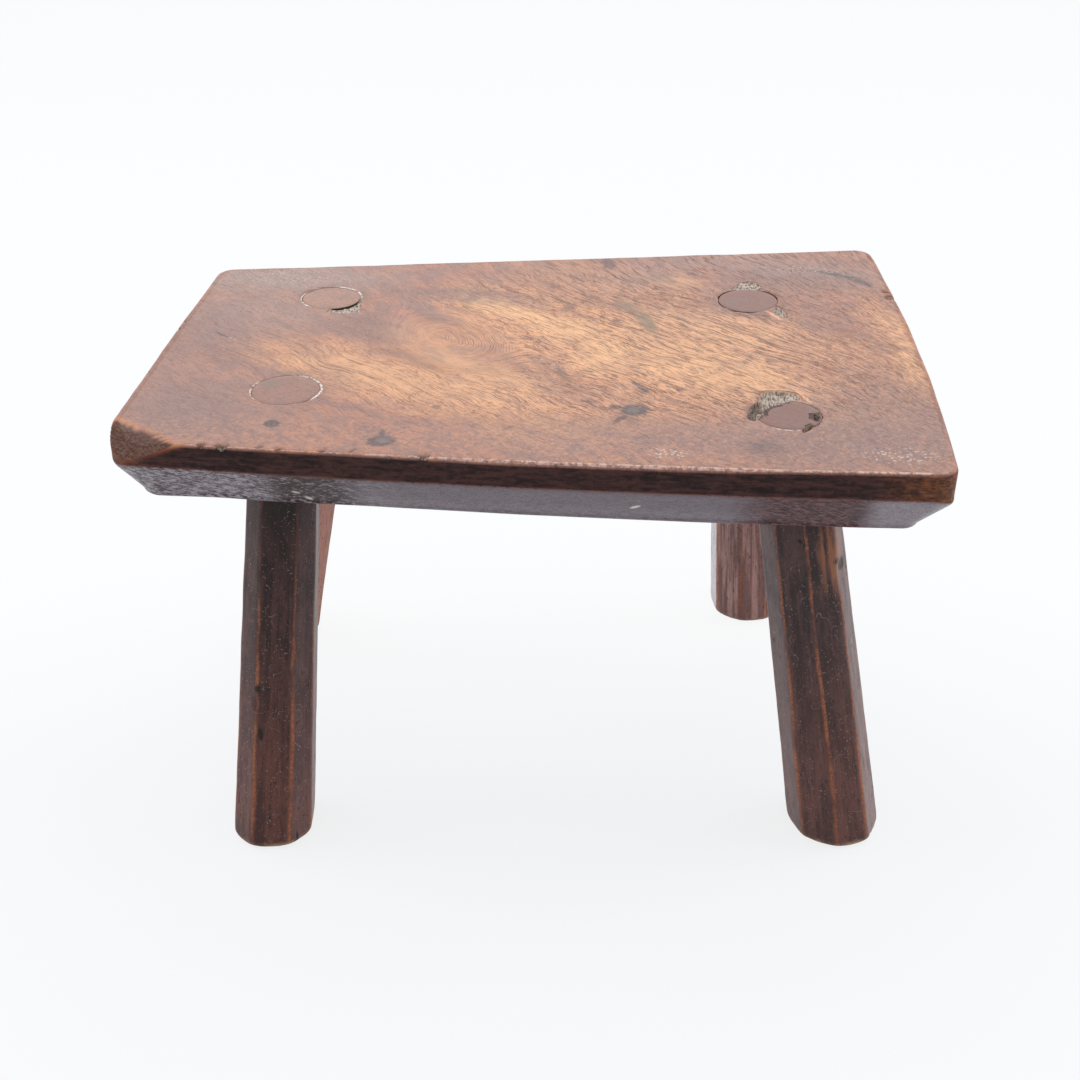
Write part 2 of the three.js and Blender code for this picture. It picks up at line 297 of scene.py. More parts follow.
def seat_rings():
    """The plank's surface before any wear, as named stacks of rings from its underside to its top."""
    top = seat_outline([0] * 4, [CORNERS[side.start][2] for side in SIDES])
    under = seat_outline([side.bevel for side in SIDES], [UNDER_CORNER_RADIUS] * 4)
    near_corner = np.linalg.norm(top - corner_place("front_left"), axis=1)
    under = under + (top - under) * BEVEL_LOSS * smoothstep(near_corner, *BEVEL_LOSS_REACH)[:, None]
    band = along_outline([side.band for side in SIDES])
    ease = along_outline([side.ease for side in SIDES])[:, None]
    thickness = np.interp(top[:, 0], THICKNESS_PLACES, THICKNESSES)

    flat = np.zeros((len(top), 1))
    under_edge = np.concatenate([under, (SEAT_TOP - thickness)[:, None]], 1)
    band_foot = np.concatenate([top, (SEAT_TOP - band)[:, None]], 1)
    arris = np.concatenate([top, flat + SEAT_TOP], 1)
    tangent = unit(np.roll(top, -1, 0) - np.roll(top, 1, 0))
    inward = np.concatenate([-tangent[:, 1:], tangent[:, :1], flat], 1)
    up = np.array([0.0, 0.0, 1.0])
    slope = unit(band_foot - under_edge)
    middle = np.array([0.0, 4.0, 0.0])
    under_middle = middle + [0, 0, SEAT_TOP - THICKNESS]
    top_middle = middle + [0, 0, SEAT_TOP]
    homeward = unit((under_middle - under_edge) * [1, 1, 0])

    under_start = under_edge + homeward * UNDER_EDGE_ROUNDING
    under_end = under_edge + slope * UNDER_EDGE_ROUNDING
    foot_start = band_foot - slope * BAND_FOOT_ROUNDING
    foot_end = band_foot + up * BAND_FOOT_ROUNDING
    ease_start, ease_end = arris - up * ease, arris + inward * ease
    return [
        ("bottom", np.stack([under_start + (under_middle - under_start) * s for s in UNDERSIDE_SHARES])),
        ("bottom", bend(under_start, under_edge, under_end, UNDER_EDGE_RINGS)),
        ("bevel", stretch(under_end, foot_start, BEVEL_RINGS)),
        ("bevel", bend(foot_start, band_foot, foot_end, BAND_FOOT_RINGS)),
        ("band", stretch(foot_end, ease_start, BAND_RINGS)),
        ("band", bend(ease_start, arris, ease_end, TOP_EDGE_RINGS)),
        ("top", np.stack([ease_end + (top_middle - ease_end) * s for s in TOP_SHARES])),
    ]


def zone(points, table):
    """1 inside the ellipses of a table of places, in mm of the frame, fading out at their rims."""
    total = np.zeros(points.shape[:-1])
    for x, y, long, wide, turn, soft, strength in table:
        turned = math.radians(turn)
        across, back = points[..., 0] - x, points[..., 1] - y
        u = (across * math.cos(turned) + back * math.sin(turned)) / long
        v = (back * math.cos(turned) - across * math.sin(turned)) / wide
        total = np.maximum(total, strength * smoothstep(np.hypot(u, v), 1 + soft, max(1 - soft, 0)))
    return total


def colour_zones(rings):
    """How tan, light, grey and dark the plank is."""
    level = rings * [1, 1, 0] + SHIFT
    offsets = [9 * rough_noise(level + start, 42, 301) for start in (0, 500)]
    loose = level + np.stack(offsets + [offsets[0] * 0], -1)
    broad = np.stack([zone(loose, table) for table in (TAN_PLACES, LIGHT_PLACES, GREY_PLACES)], -1)
    dark = np.maximum(zone(loose, DARK_PLACES), zone(level + (loose - level) * 0.15, HALOS))
    return {"broad": broad, "dark": dark, "warm": zone(loose, WARM_SIDES)}


def top_level(points):
    """How far the worn top lies below its highest level, in mm, at places on the seat."""
    x, y = points[..., 0], points[..., 1]
    flat = np.stack([x, y, np.zeros_like(x)], -1)
    dish = 0.55 * np.exp(-((x - 20) / 120) ** 2 - ((y + 10) / 80) ** 2)
    return -0.2 - dish + 0.2 * rough_noise(flat, [70, 45, 60], 3)


# Nicks in the top edge: place in mm of the frame, width and depth
NICKS = [
    (-149, -118, 1.8, 1.3), (-139.5, -119, 2.4, 1.6), (-122, -119.5, 1.3, 0.8), (-113, -121, 1.6, 1.0),
    (-93, -122.5, 1.5, 1.0), (-80, -123, 1.1, 0.8), (-46.7, -127.5, 2.2, 1.5), (-18, -131, 1.1, 0.6),
    (12, -134, 1.4, 0.8), (33, -136, 1.0, 0.6), (61, -138, 1.3, 0.7), (96, -140.5, 1.5, 0.8),
    (131, -141.5, 1.1, 0.6), (192.5, 66, 3.2, 1.3), (191.5, 74, 1.6, 0.8), (-188.5, 17.8, 1.3, 1.0),
    (-187, 28, 1.1, 0.7),
]


def hand_worked(rings, normal, parts):
    """The top a little dished, the sides uneven, the bevel hewn, most of all at its left end."""
    names = np.concatenate([np.full(len(part), name, dtype="U6") for name, part in parts])
    inside = {name: (names == name)[:, None] for name in ("bottom", "bevel", "band", "top")}
    x, y, z = rings[..., 0], rings[..., 1], rings[..., 2]
    side = -0.3 + 0.35 * rough_noise(rings, [32, 32, 14], 11) + 0.06 * rough_noise(rings, 3, 17)
    slant = x + 1.3 * z + 0.25 * y
    chatter = np.stack([slant, y * 0.2 + z * 0.3, np.zeros_like(x)], -1)
    hewn = 0.35 * rough_noise(chatter, [7, 12, 1], 23) + 0.35 * rough_noise(rings, 3, 29)
    left_part = 1 - 0.85 * smoothstep(x, -90, -30)
    under = -0.3 + 0.2 * rough_noise(rings, [40, 40, 18], 31) + hewn * left_part
    height = (inside["top"] * top_level(rings) + inside["band"] * side + inside["bevel"] * under
              + inside["bottom"] * (0.4 + 0.5 * rough_noise(rings, [60, 22, 30], 37)))
    for _ in range(2):
        height[1:-1] = (height[:-2] + 2 * height[1:-1] + height[2:]) / 4
    return rings + normal * height[..., None]


def worn_corner(rings):
    """The flat worn off the front left corner, where it is worn, and the rim round it."""
    corner = np.append(corner_place("front_left"), SEAT_TOP)
    front, left = side_line(SIDES[0], 0)[1], side_line(SIDES[3], 0)[1]
    on_front = corner + np.append(front * WORN_CORNER["along_front"], 0)
    on_left = corner - np.append(left * WORN_CORNER["along_left"], 0)
    on_edge = corner - [0, 0, WORN_CORNER["down"]]
    outward = unit(np.cross(on_left - on_front, on_edge - on_front))
    outward = outward * np.sign(outward[2])
    past = (rings - on_front) @ outward + 0.4 * rough_noise(rings, 16, 47)
    softness = 0.3
    soft = np.logaddexp(0, past / softness) * softness
    worn = smoothstep(past, 0.0, 0.9)
    higher = smoothstep(rings[..., 2], SEAT_TOP - 8, SEAT_TOP - 3)
    rim = smoothstep(past, -2.4, -0.2) * (1 - worn) * (0.35 + 0.65 * higher)
    rough = 0.1 * rough_noise(rings, 2.4, 41) + 0.25 * rough_noise(rings, 9, 43)
    return rings - outward * (soft + worn * (rough + 0.25))[..., None], worn, rim


def edges_and_levels(parts, shape):
    """How rubbed each ring is (under edge, band foot and top edge), which also places the partly painted
    highlight on the top edge, how far down it lies (1 on the bevel, 2 on the underside), and whether it
    takes the duller finish."""
    starts = np.cumsum([0] + [len(part) for _, part in parts])
    under_edge, band_foot, top_edge = 1, 3, 5
    wear = ((under_edge, 0.5, 0.4, 1), (band_foot, 0.8, 0.0, 2), (top_edge, 1.0, 0.4, 1))
    edge = np.zeros(shape)
    for part, strength, least, power in wear:
        t = np.linspace(-1, 1, len(parts[part][1]))
        profile = strength * (least + (1 - least) * (1 - t ** 2) ** power)
        edge[starts[part]:starts[part + 1]] = profile[:, None]
    below = np.zeros(shape)
    below[:starts[band_foot]] = 1
    below[:starts[under_edge]] = 2
    below[starts[under_edge]:starts[2]] = np.linspace(2, 1, UNDER_EDGE_RINGS)[:, None]
    foot = slice(starts[band_foot], starts[band_foot + 1])
    below[foot] = np.clip(0.5 - np.linspace(-1.5, 1.5, BAND_FOOT_RINGS), 0, 1)[:, None]
    duller = np.concatenate([np.full(len(part), name in ("band", "bottom")) for name, part in parts])
    dull = np.broadcast_to(duller[:, None], shape).astype(float)
    dull[foot] = np.maximum(dull[foot], below[foot] < 0.5)
    return edge, below, dull


def nicked(rings, normal):
    """Nicks along the arris: each pushes the edge in and down, and shows bare wood."""
    raw = np.zeros(rings.shape[:2])
    near_arris = np.exp(-((SEAT_TOP - rings[..., 2]) / 2.6) ** 2)
    for x, y, wide, deep in NICKS:
        reach = np.hypot(rings[..., 0] + SHIFT[0] - x, rings[..., 1] + SHIFT[1] - y) / wide
        push = deep * np.exp(-reach ** 4) * near_arris
        rings = rings - normal * push[..., None] * 0.7 - np.array([0, 0, 0.5]) * push[..., None]
        raw = np.maximum(raw, 0.8 * smoothstep(push, 0.3, 0.7))
    return rings, raw


def seat_piece():
    parts = seat_rings()
    rings = np.concatenate([part for _, part in parts])
    normal = ring_normals(rings)
    rings, worn, rim = worn_corner(hand_worked(rings, normal, parts))
    edge, below, dull = edges_and_levels(parts, rings.shape[:2])
    rings, raw = nicked(rings, normal)
    rings[..., 2] = np.minimum(rings[..., 2], SEAT_TOP)
    values = {"edge": edge * (1 - worn), "raw": raw, "worn": worn, "rim": rim, "dull": dull,
              "below": below}
    return lofted("plank", rings, values | colour_zones(rings))


def finish_by_zone(piece):
    """The upright sides and the underside take the second material, which is duller."""
    mesh = piece.data
    dull = np.empty(len(mesh.vertices), np.float32)
    mesh.attributes["dull"].data.foreach_get("value", dull)
    corners = np.empty(len(mesh.loops), np.int32)
    mesh.loops.foreach_get("vertex_index", corners)
    starts = np.empty(len(mesh.polygons), np.int32)
    mesh.polygons.foreach_get("loop_start", starts)
    mesh.polygons.foreach_set("material_index", (dull[corners[starts]] > 0.5).astype(np.int32))


# Legs

def leg_lines(name):
    """The middle of the tenon's end in plan, and how far the leg's foot stands from under it."""
    return place_on_seat(*LEGS[name].tenon), SEAT_TOP * np.tan(np.radians(LEGS[name].lean))


def leg_centre(name, z):
    """The middle of the leg in plan at height z."""
    tenon, offset = leg_lines(name)
    share = 1 - np.asarray(z, float) / SEAT_TOP
    return tenon + offset * share[..., None]


def lay_level(name, section):
    """A section square to the leg, laid level: stretched along the lean."""
    _, offset = leg_lines(name)
    along = unit(offset)
    factor = math.hypot(np.linalg.norm(offset), SEAT_TOP) / SEAT_TOP
    return section + (section @ along)[..., None] * along * (factor - 1)


def bearing(angle, facing):
    """The angle as measured from facing, between minus and plus half a turn."""
    return (angle - facing + math.pi) % (2 * math.pi) - math.pi


def leg_piece(name, seed):
    _, _, diameter, top_width, foot_width, corner_share, turn = LEGS[name]
    thickness = np.interp(leg_lines(name)[0][0], THICKNESS_PLACES, THICKNESSES)
    shoulder = SEAT_TOP - thickness - SHOULDER_GAP
    neck_foot = shoulder - NECK_LENGTH

    # points crowd together towards the arrises between the eight sides
    mean_width = (top_width + foot_width) / 2
    eighth = math.pi / 4
    facing = math.radians(turn - 90) + eighth * np.arange(8)
    cut_width = (1 - corner_share) / math.sqrt(2)
    distances = np.where(np.arange(8) % 2 == 0, mean_width / 2, mean_width * cut_width)
    corners = []
    for k in range(8):
        near, far = distances[k], distances[(k + 1) % 8]
        corners.append(facing[k] + math.atan2(far - near * math.cos(eighth), near * math.sin(eighth)))
    corners = np.array(corners)
    widths = (np.roll(corners, -1) - corners) % (2 * math.pi)
    share = (1 - np.cos(np.linspace(0, math.pi, SIDE_POINTS, endpoint=False))) / 2
    share = 0.75 * share + 0.25 * np.linspace(0, 1, SIDE_POINTS, endpoint=False)
    angle = (corners[:, None] + widths[:, None] * share).ravel()
    around = len(angle)

    foot_z = FOOT_EASE * (1 - np.cos(np.linspace(0, 1, 9) * math.pi / 2))
    low_z = np.linspace(FOOT_EASE, FOOT_TOP, 9)[1:]
    body_z = np.linspace(FOOT_TOP, neck_foot, 100)[1:]
    neck_z = np.linspace(neck_foot, shoulder, 14)[1:]
    tenon_z = np.array([shoulder + 0.05, (shoulder + SEAT_TOP) / 2, SEAT_TOP - 5, SEAT_TOP - 2])
    height = np.concatenate([foot_z, low_z, body_z, neck_z, tenon_z])
    z, theta = np.meshgrid(height, angle, indexing="ij")
    twist = np.radians(np.interp(z, TWIST_HEIGHTS, TWIST.get(name, (0, 0))))
    theta = theta + twist

    # eight shaved sides, each a little wavy, met by worn arrises
    facet_tones_and_sheen = np.array(TONES_AND_SHEEN[name][1])
    width = foot_width + (top_width - foot_width) * z / (SEAT_TOP - thickness)
    reach = []
    for k in range(8):
        square = k % 2 == 0
        line = np.stack([z, np.full_like(z, 40.0 * k), np.full_like(z, seed * 9.0)], -1)
        distance = width / 2 if square else width * cut_width
        distance = distance + 0.4 * noise(line, 55, seed) + 0.22 * rough_noise(line, 15, seed + 1) - 0.2
        turned = facing[k] + twist + 0.02 * noise(line, 50, seed + 5)
        off = bearing(theta, turned)
        reach.append(np.where(np.abs(off) < 1.2, distance / np.cos(np.clip(off, -1.2, 1.2)), 1e3))
    reach = np.array(reach)
    nearest = reach.min(0)
    crispness = 0.45 + 1.75 * smoothstep(z, 0, 10)
    radius = nearest - np.log(np.exp(-(reach - nearest) * crispness).sum(0)) / crispness
    shares = np.exp(-(reach - nearest) * 1.3)
    shares = shares / shares.sum(0)
    arris = smoothstep(1 - shares.max(0), 0.08, 0.5)

    # rounded neck under the seat, then the tenon
    blend = smoothstep(z, neck_foot, shoulder)
    round_neck = diameter / 2 + SHOULDER
    radius = radius + (round_neck - radius) * blend
    arris = arris * (1 - blend ** 2)
    radius = np.where(z > shoulder, diameter / 2, radius)
    inset = FOOT_EASE * (1 - np.sin(np.arccos(np.clip(1 - z / FOOT_EASE, 0, 1))))
    frayed = rough_noise(np.stack([theta * 9, z * 0.4, z * 0 + seed], -1), 3, seed + 9)
    radius = radius - inset * (1 + 0.3 * frayed) - 0.35 * np.abs(frayed) * smoothstep(z, 7, 0)

    section = radius[..., None] * np.stack([np.cos(theta), np.sin(theta)], -1)
    ripple = np.concatenate([section, z[..., None] / 7], -1)
    rugged_side, rugged = RUGGED.get(name, (0, 0.0))
    small = 0.09 + rugged * shares[rugged_side] * (1 - blend)
    small = small * rough_noise(ripple, 3.2, seed + 13) * (z < shoulder)
    section = section * (1 + small / np.maximum(radius, 1))[..., None]
    for at, facing_degrees, long, wide, deep in DENTS.get(name, []):
        off = bearing(theta, math.radians(facing_degrees))
        spread = np.exp(-((z - at) / long) ** 2 - (off * radius / wide) ** 2)
        section = section * (1 - deep * spread / np.maximum(radius, 1))[..., None]
    level = lay_level(name, section) + leg_centre(name, z)
    rings = np.concatenate([level, z[..., None]], -1)
    grain = np.concatenate([section, z[..., None]], -1)

    # sole and tenon end, closed towards their middles
    sole_middle = np.append(leg_centre(name, np.array(0.0)), 0)
    sole = sole_middle + (rings[0] - sole_middle) * SOLE_SHARES
    end_middle = np.append(leg_centre(name, np.array(float(SEAT_TOP))), SEAT_TOP)
    disc = lay_level(name, diameter / 2 * np.stack([np.cos(theta[-1]), np.sin(theta[-1])], -1))
    disc = np.concatenate([disc, np.zeros((around, 1))], -1)
    end = end_middle + disc * END_SHARES
    end[..., 2] += END_HEIGHTS + top_level(end) + 0.06 + 0.08 * rough_noise(end, 6, seed + 21)
    end[..., 2] = np.minimum(end[..., 2], SEAT_TOP)

    def with_ends(values):
        nothing = np.zeros(values.shape[1:])
        return np.concatenate([np.broadcast_to(nothing, (len(sole), around)), values,
                               np.broadcast_to(nothing, (len(end), around))])

    sole_grain = np.concatenate([section[0] * SOLE_SHARES, np.zeros((len(sole), around, 1))], -1)
    attributes = {
        "edge": with_ends(arris),
        "raw": np.zeros((1, 1)),
        "tone_and_sheen": with_ends((shares * facet_tones_and_sheen[:, None, None]).sum(0)),
        "tenon": np.full((1, 1), TONES_AND_SHEEN[name][0]),
        "grain": np.concatenate([sole_grain, grain, disc * END_SHARES + [0, 0, SEAT_TOP]]),
    }
    return lofted(name + "_wood", np.concatenate([sole, rings, end]), attributes)


# Cutters for the seat

def cutter(name, rings, bareness):
    """A closed cutter. The wood that it lays open is unrubbed, and as bare as given."""
    values = {"edge": 0.0, "raw": bareness, "worn": 0.0, "rim": 0.0}
    return lofted(name, rings, {key: np.full((1, 1), value) for key, value in values.items()})


def mortise(name, seed):
    """A slanted hole round the tenon, opened by wear and shrinkage near the top."""
    angle = np.linspace(0, 2 * math.pi, MORTISE_POINTS, endpoint=False)
    height = np.concatenate([[-42, -20], np.linspace(-8, 1, 10), [3]]) + SEAT_TOP
    z, theta = np.meshgrid(height, angle, indexing="ij")
    spot = np.stack([np.cos(theta) * 3, np.sin(theta) * 3, z * 0.12], -1)
    gap = 0.12 * np.maximum(0, rough_noise(spot, 1.2, seed) + 0.1)
    for facing, spread, wide in CRACKS[name]:
        off = bearing(theta, math.radians(facing))
        ragged = 1 + 0.5 * rough_noise(spot, 0.8, seed + 5)
        gap = gap + wide * ragged * np.exp(-(off / math.radians(spread)) ** 4)
    gap = gap * smoothstep(z, SEAT_TOP - 8, SEAT_TOP - 1)
    radius = LEGS[name].diameter / 2 + TENON_FIT + gap
    section = radius[..., None] * np.stack([np.cos(theta), np.sin(theta)], -1)
    rings = np.concatenate([lay_level(name, section) + leg_centre(name, z), z[..., None]], -1)
    # its walls, bare at 0.55, take painted shade in the material
    return cutter("mortise", rings, 0.55)


MORTISE_POINTS = 120
PIT_POINTS = 90
TENON_FIT = 0.03
# Openings round the tenons: direction in degrees, spread in degrees, width in mm
CRACKS = {
    "leg_front_left": [(-46, 12, 0.7), (25, 30, 0.15)],
    "leg_front_right": [(-52, 22, 0.5)],
    "leg_back_left": [(-52, 34, 0.45), (185, 30, 0.2)],
    "leg_back_right": [(148, 24, 1.0), (205, 20, 0.8), (33, 24, 1.1), (-105, 26, 1.4)],
}


def pit(seed, outline, depth, steepness, slope):
    """A broken-out hollow: outline in mm on the seat, clockwise, with a rough floor."""
    outline = np.array(outline[::-1], float)
    loop = np.concatenate([outline, outline[:1]])
    run = np.concatenate([[0], np.cumsum(np.linalg.norm(np.diff(loop, axis=0), axis=1))])
    at = np.linspace(0, run[-1], PIT_POINTS, endpoint=False)
    rim = np.stack([np.interp(at, run, loop[:, 0]), np.interp(at, run, loop[:, 1])], -1)
    middle = outline.mean(0)
    ragged = np.concatenate([rim, np.zeros((PIT_POINTS, 1))], -1)
    rim = rim + unit(rim - middle) * (0.45 * rough_noise(ragged, 2.2, seed))[:, None]
    inner = np.linspace(0.05, 1 - steepness, 12)
    share = np.concatenate([inner, [1 - steepness * 0.5, 1 - steepness * 0.1]])
    flat = middle + (rim - middle) * share[:, None, None]
    spot = np.concatenate([flat, np.zeros(flat.shape[:2] + (1,))], -1)
    tilt = (flat - middle) @ np.array(slope)
    floor = depth * (1 + 0.25 * rough_noise(spot, 4.5, seed + 3)) - tilt
    floor = floor + 0.35 * rough_noise(spot, 1.1, seed + 7)
    fall = smoothstep(share, 1.02, 1 - steepness)[:, None]
    z = SEAT_TOP - np.maximum(floor, 0.5) * (0.25 + 0.75 * fall)
    floor_rings = np.concatenate([flat, z[..., None]], -1)
    walls = [np.concatenate([middle + (rim - middle) * s, np.full((PIT_POINTS, 1), SEAT_TOP + h)], -1)
             for s, h in ((1.0, -0.6), (1.02, 0.0), (1.05, 1.0), (1.05, 3.0))]
    return cutter("pit", np.concatenate([floor_rings, walls]), 1.0)


# Broken-out hollows in plan: outline, depth, steepness of the rim, rise of the floor to the right
# and to the back
HOLLOWS = [
    ([(110.6, -73.3), (108.3, -63.8), (110.1, -58.8), (111.3, -52.8), (116.1, -51.3), (122.8, -51.6),
      (128.4, -54.8), (130.6, -60.8), (125.1, -63), (120.7, -65.4), (114.9, -69.9)],
     2.9, 0.16, (0.05, 0.10)),
    ([(101.5, -81.8), (102.9, -75.8), (104.3, -70.1), (106.5, -66.8), (108.7, -64.3), (110.7, -72.8),
      (110, -78.8), (108, -81.3), (105.2, -85.6), (102.9, -84.9)],
     3.4, 0.2, (0.0, 0.0)),
    ([(132.5, -82.3), (132.7, -77.8), (134.7, -76.3), (136.3, -79.3), (135.5, -83.3), (133.5, -85.2)],
     6.0, 0.1, (0.0, 0.0)),
    ([(125.5, -95.2), (128.3, -91.2), (131.1, -88), (132.3, -89.6), (129.5, -94.7), (126.3, -97.4)],
     6.0, 0.1, (0.0, 0.0)),
    ([(-108, 56), (-103, 62), (-96.3, 64.5), (-95.4, 56), (-94.8, 44.5), (-103, 42.5), (-112.5, 45.5)],
     1.5, 0.3, (0.03, -0.04)),
    ([(108.1, 79.7), (110.6, 86.2), (113.6, 91.2), (118.1, 92.7), (122.6, 90.2), (124.6, 85.2),
      (124.6, 79.7), (116.1, 80.7)],
     1.5, 0.4, (0.0, 0.06)),
    ([(127.4, 49.7), (130, 57.2), (132.1, 53), (134.9, 45.2), (132.3, 40.8), (129.5, 43.7)],
     1.8, 0.3, (0.0, 0.0)),
]
# The first hollows, which also chip the front right tenon
CHIPS = HOLLOWS[:4]


def build():
    seat = seat_piece()
    for k, name in enumerate(LEGS):
        cut(seat, mortise(name, 60 + k))
    legs = {name: leg_piece(name, 100 + 20 * k) for k, name in enumerate(LEGS)}
    for piece, hollows in ((seat, HOLLOWS), (legs["leg_front_right"], CHIPS)):
        for k, hollow in enumerate(hollows):
            cut(piece, pit(71 + k, *hollow))
    return seat, legs


# Materials, written as sums over sockets

class Wire:
    """A shader value that can be added to, multiplied and mixed."""

    def __init__(self, tree, socket):
        self.tree, self.socket = tree, socket

    def math(self, operation, *others):
        node = self.tree.nodes.new("ShaderNodeMath")
        node.operation = operation
        for k, value in enumerate((self,) + others):
            plug(self.tree, value, node.inputs[k])
        return Wire(self.tree, node.outputs[0])

    def __add__(self, other):
        return self.math("ADD", other)

    def __sub__(self, other):
        return self.math("SUBTRACT", other)

    def __mul__(self, other):
        return self.math("MULTIPLY", other)

    def __rsub__(self, other):
        return (self * -1.0) + other

    __radd__ = __add__
    __rmul__ = __mul__


def plug(tree, value, socket):
    if isinstance(value, Wire):
        tree.links.new(value.socket, socket)
    else:
        socket.default_value = value


class Recipe:
    """Builds one material's nodes."""

    def __init__(self, name):
        self.material = bpy.data.materials.new(name)
        self.material.use_nodes = True
        self.tree = self.material.node_tree
        self.shader = self.tree.nodes["Principled BSDF"]

    def node(self, kind, output, values=None, **settings):
        node = self.tree.nodes.new(kind)
        for key, value in settings.items():
            setattr(node, key, value)
        for key, value in (values or {}).items():
            plug(self.tree, value, node.inputs[key])
        return Wire(self.tree, node.outputs[output])

    def place(self):
        """Where the surface is, in mm of the frame."""
        where = self.node("ShaderNodeTexCoord", "Object")
        return self.vector("SCALE", where, scale=1000.0)

    def vector(self, operation, first, second=None, scale=None):
        node = self.tree.nodes.new("ShaderNodeVectorMath")
        node.operation = operation
        plug(self.tree, first, node.inputs[0])
        if second is not None:
            plug(self.tree, second, node.inputs[1])
        if scale is not None:
            plug(self.tree, scale, node.inputs["Scale"])
        output = "Value" if operation in ("LENGTH", "DISTANCE", "DOT_PRODUCT") else "Vector"
        return Wire(self.tree, node.outputs[output])

    def split(self, vector):
        node = self.tree.nodes.new("ShaderNodeSeparateXYZ")
        plug(self.tree, vector, node.inputs[0])
        return [Wire(self.tree, output) for output in node.outputs]

    def join(self, x, y, z):
        node = self.tree.nodes.new("ShaderNodeCombineXYZ")
        for socket, value in zip(node.inputs, (x, y, z)):
            plug(self.tree, value, socket)
        return Wire(self.tree, node.outputs[0])

    def noise(self, vector, scale, detail=3.0, roughness=0.5):
        values = {"Vector": vector, "Scale": scale, "Detail": detail, "Roughness": roughness}
        return self.node("ShaderNodeTexNoise", "Fac", values)

    def cells(self, vector, scale):
        """The distance from the nearest of some scattered points."""
        values = {"Vector": vector, "Scale": scale, "Randomness": 1.0}
        return self.node("ShaderNodeTexVoronoi", "Distance", values)

    def wander(self, vector, scale, detail):
        """A level vector that varies smoothly, up to half a unit each way."""
        along = self.noise(vector, scale, detail)
        across = self.noise(self.vector("ADD", vector, (313.0, 77.0, 0.0)), scale, detail)
        return self.join(along - 0.5, across - 0.5, 0.0)

    def ramp(self, value, low, high, to_low=0.0, to_high=1.0):
        values = {"Value": value, "From Min": low, "From Max": high, "To Min": to_low, "To Max": to_high}
        return self.node("ShaderNodeMapRange", "Result", values, interpolation_type="SMOOTHSTEP")

    def mix(self, factor, first, second):
        node = self.tree.nodes.new("ShaderNodeMix")
        node.data_type = "RGBA"
        plug(self.tree, factor, node.inputs[0])
        for value, socket in ((first, node.inputs[6]), (second, node.inputs[7])):
            plug(self.tree, value if isinstance(value, Wire) else (*value, 1.0), socket)
        return Wire(self.tree, node.outputs[2])

    def attribute(self, name, output="Fac"):
        return self.node("ShaderNodeAttribute", output, attribute_name=name)

    def surface(self, colour, roughness, relief, strength, specular):
        """The finished material; relief is in mm."""
        values = {"Height": relief, "Strength": strength, "Distance": 0.001}
        bump = self.node("ShaderNodeBump", "Normal", values)
        for key, value in (("Base Color", colour), ("Roughness", roughness), ("Normal", bump)):
            plug(self.tree, value, self.shader.inputs[key])
        self.shader.inputs["Specular IOR Level"].default_value = specular
        return self.material


# The plank's figure and marks, placed in mm of the frame as seen from above

EYE = (-47, 8)
EYE_TURN = -48
EYE_SQUEEZE = 0.62
EYE_REACH = (20, 38)
EYE_PERIOD = 1.15

# Colours of the seat's top
LIGHT = (0.93, 0.52, 0.27)
TAN = (0.78, 0.385, 0.20)
RED = (0.48, 0.225, 0.155)
BROWN = (0.33, 0.175, 0.145)
GREY = (0.36, 0.27, 0.245)
PURPLE = (0.24, 0.155, 0.15)
GREEN = (0.23, 0.17, 0.11)
LINE = (0.20, 0.075, 0.045)
WIRY = (0.13, 0.050, 0.034)
DASH = (0.17, 0.06, 0.05)
MARK = (0.045, 0.040, 0.050)
STAIN_HEART = (0.22, 0.18, 0.175)
SPLINTER = (0.95, 0.50, 0.29)
PALE = (0.66, 0.58, 0.52)
CRUST = (0.86, 0.80, 0.73)
# Specks of the blotched places, pale and dark
BLOTCH_PALE, BLOTCH_DARK = (0.62, 0.28, 0.16), (0.21, 0.12, 0.115)
# Colours of its sides and underside; where there are two, the first gives way to the second
PATINA = (0.018, 0.009, 0.009), (0.080, 0.034, 0.028)
# the violet grey of the under-bevel on the next line is partly dust, partly painted sheen of the bright
# floor
VIOLET_DUST_AND_SHEEN = (0.17, 0.13, 0.15), (0.25, 0.205, 0.22)
# the pale of the hewn chips on the next line: partly pale wood, partly painted glints
HEWN_DARK, HEWN_PALE_AND_GLINTS = (0.060, 0.042, 0.040), (0.60, 0.53, 0.54)
BROWNED = (0.045, 0.018, 0.014)
WINE = (0.022, 0.004, 0.003), (0.20, 0.095, 0.095)
BEVEL_END = (0.30, 0.245, 0.255)
WARM = (0.11, 0.045, 0.025), (0.30, 0.105, 0.038)
SAWN = (0.095, 0.058, 0.048), (0.21, 0.135, 0.105)
BEVEL_FLECK = (0.85, 0.78, 0.66)
RUBBED = (0.20, 0.055, 0.032), (0.19, 0.062, 0.042)
# the lip on the top edge: partly worn wood, partly a painted highlight
LIP_WEAR_AND_HIGHLIGHT = (0.87, 0.60, 0.51)
WORN = (0.095, 0.045, 0.033), (0.19, 0.105, 0.08)
WORN_RIM = (0.64, 0.29, 0.15), (0.34, 0.10, 0.050)
TORN = (0.17, 0.125, 0.10), (0.66, 0.56, 0.48)
# on the next line: fresh torn wood with a painted highlight on the hollows' upper rims, brown torn wood,
# and painted shade for deep torn wood and the mortise walls
TORN_RIM_AND_HIGHLIGHT, TORN_BROWN, TORN_DEEP_SHADE = (0.72, 0.36, 0.21), (0.10, 0.070, 0.052), (0.05, 0.032, 0.024)
# Colours of the legs
LEG_BODY = (0.020, 0.009, 0.009), (0.085, 0.038, 0.032)
LEG_LOW, LEG_HIGH = (0.155, 0.056, 0.040), (0.010, 0.005, 0.005)
LEG_DULL = (0.20, 0.098, 0.085), (0.50, 0.29, 0.25)
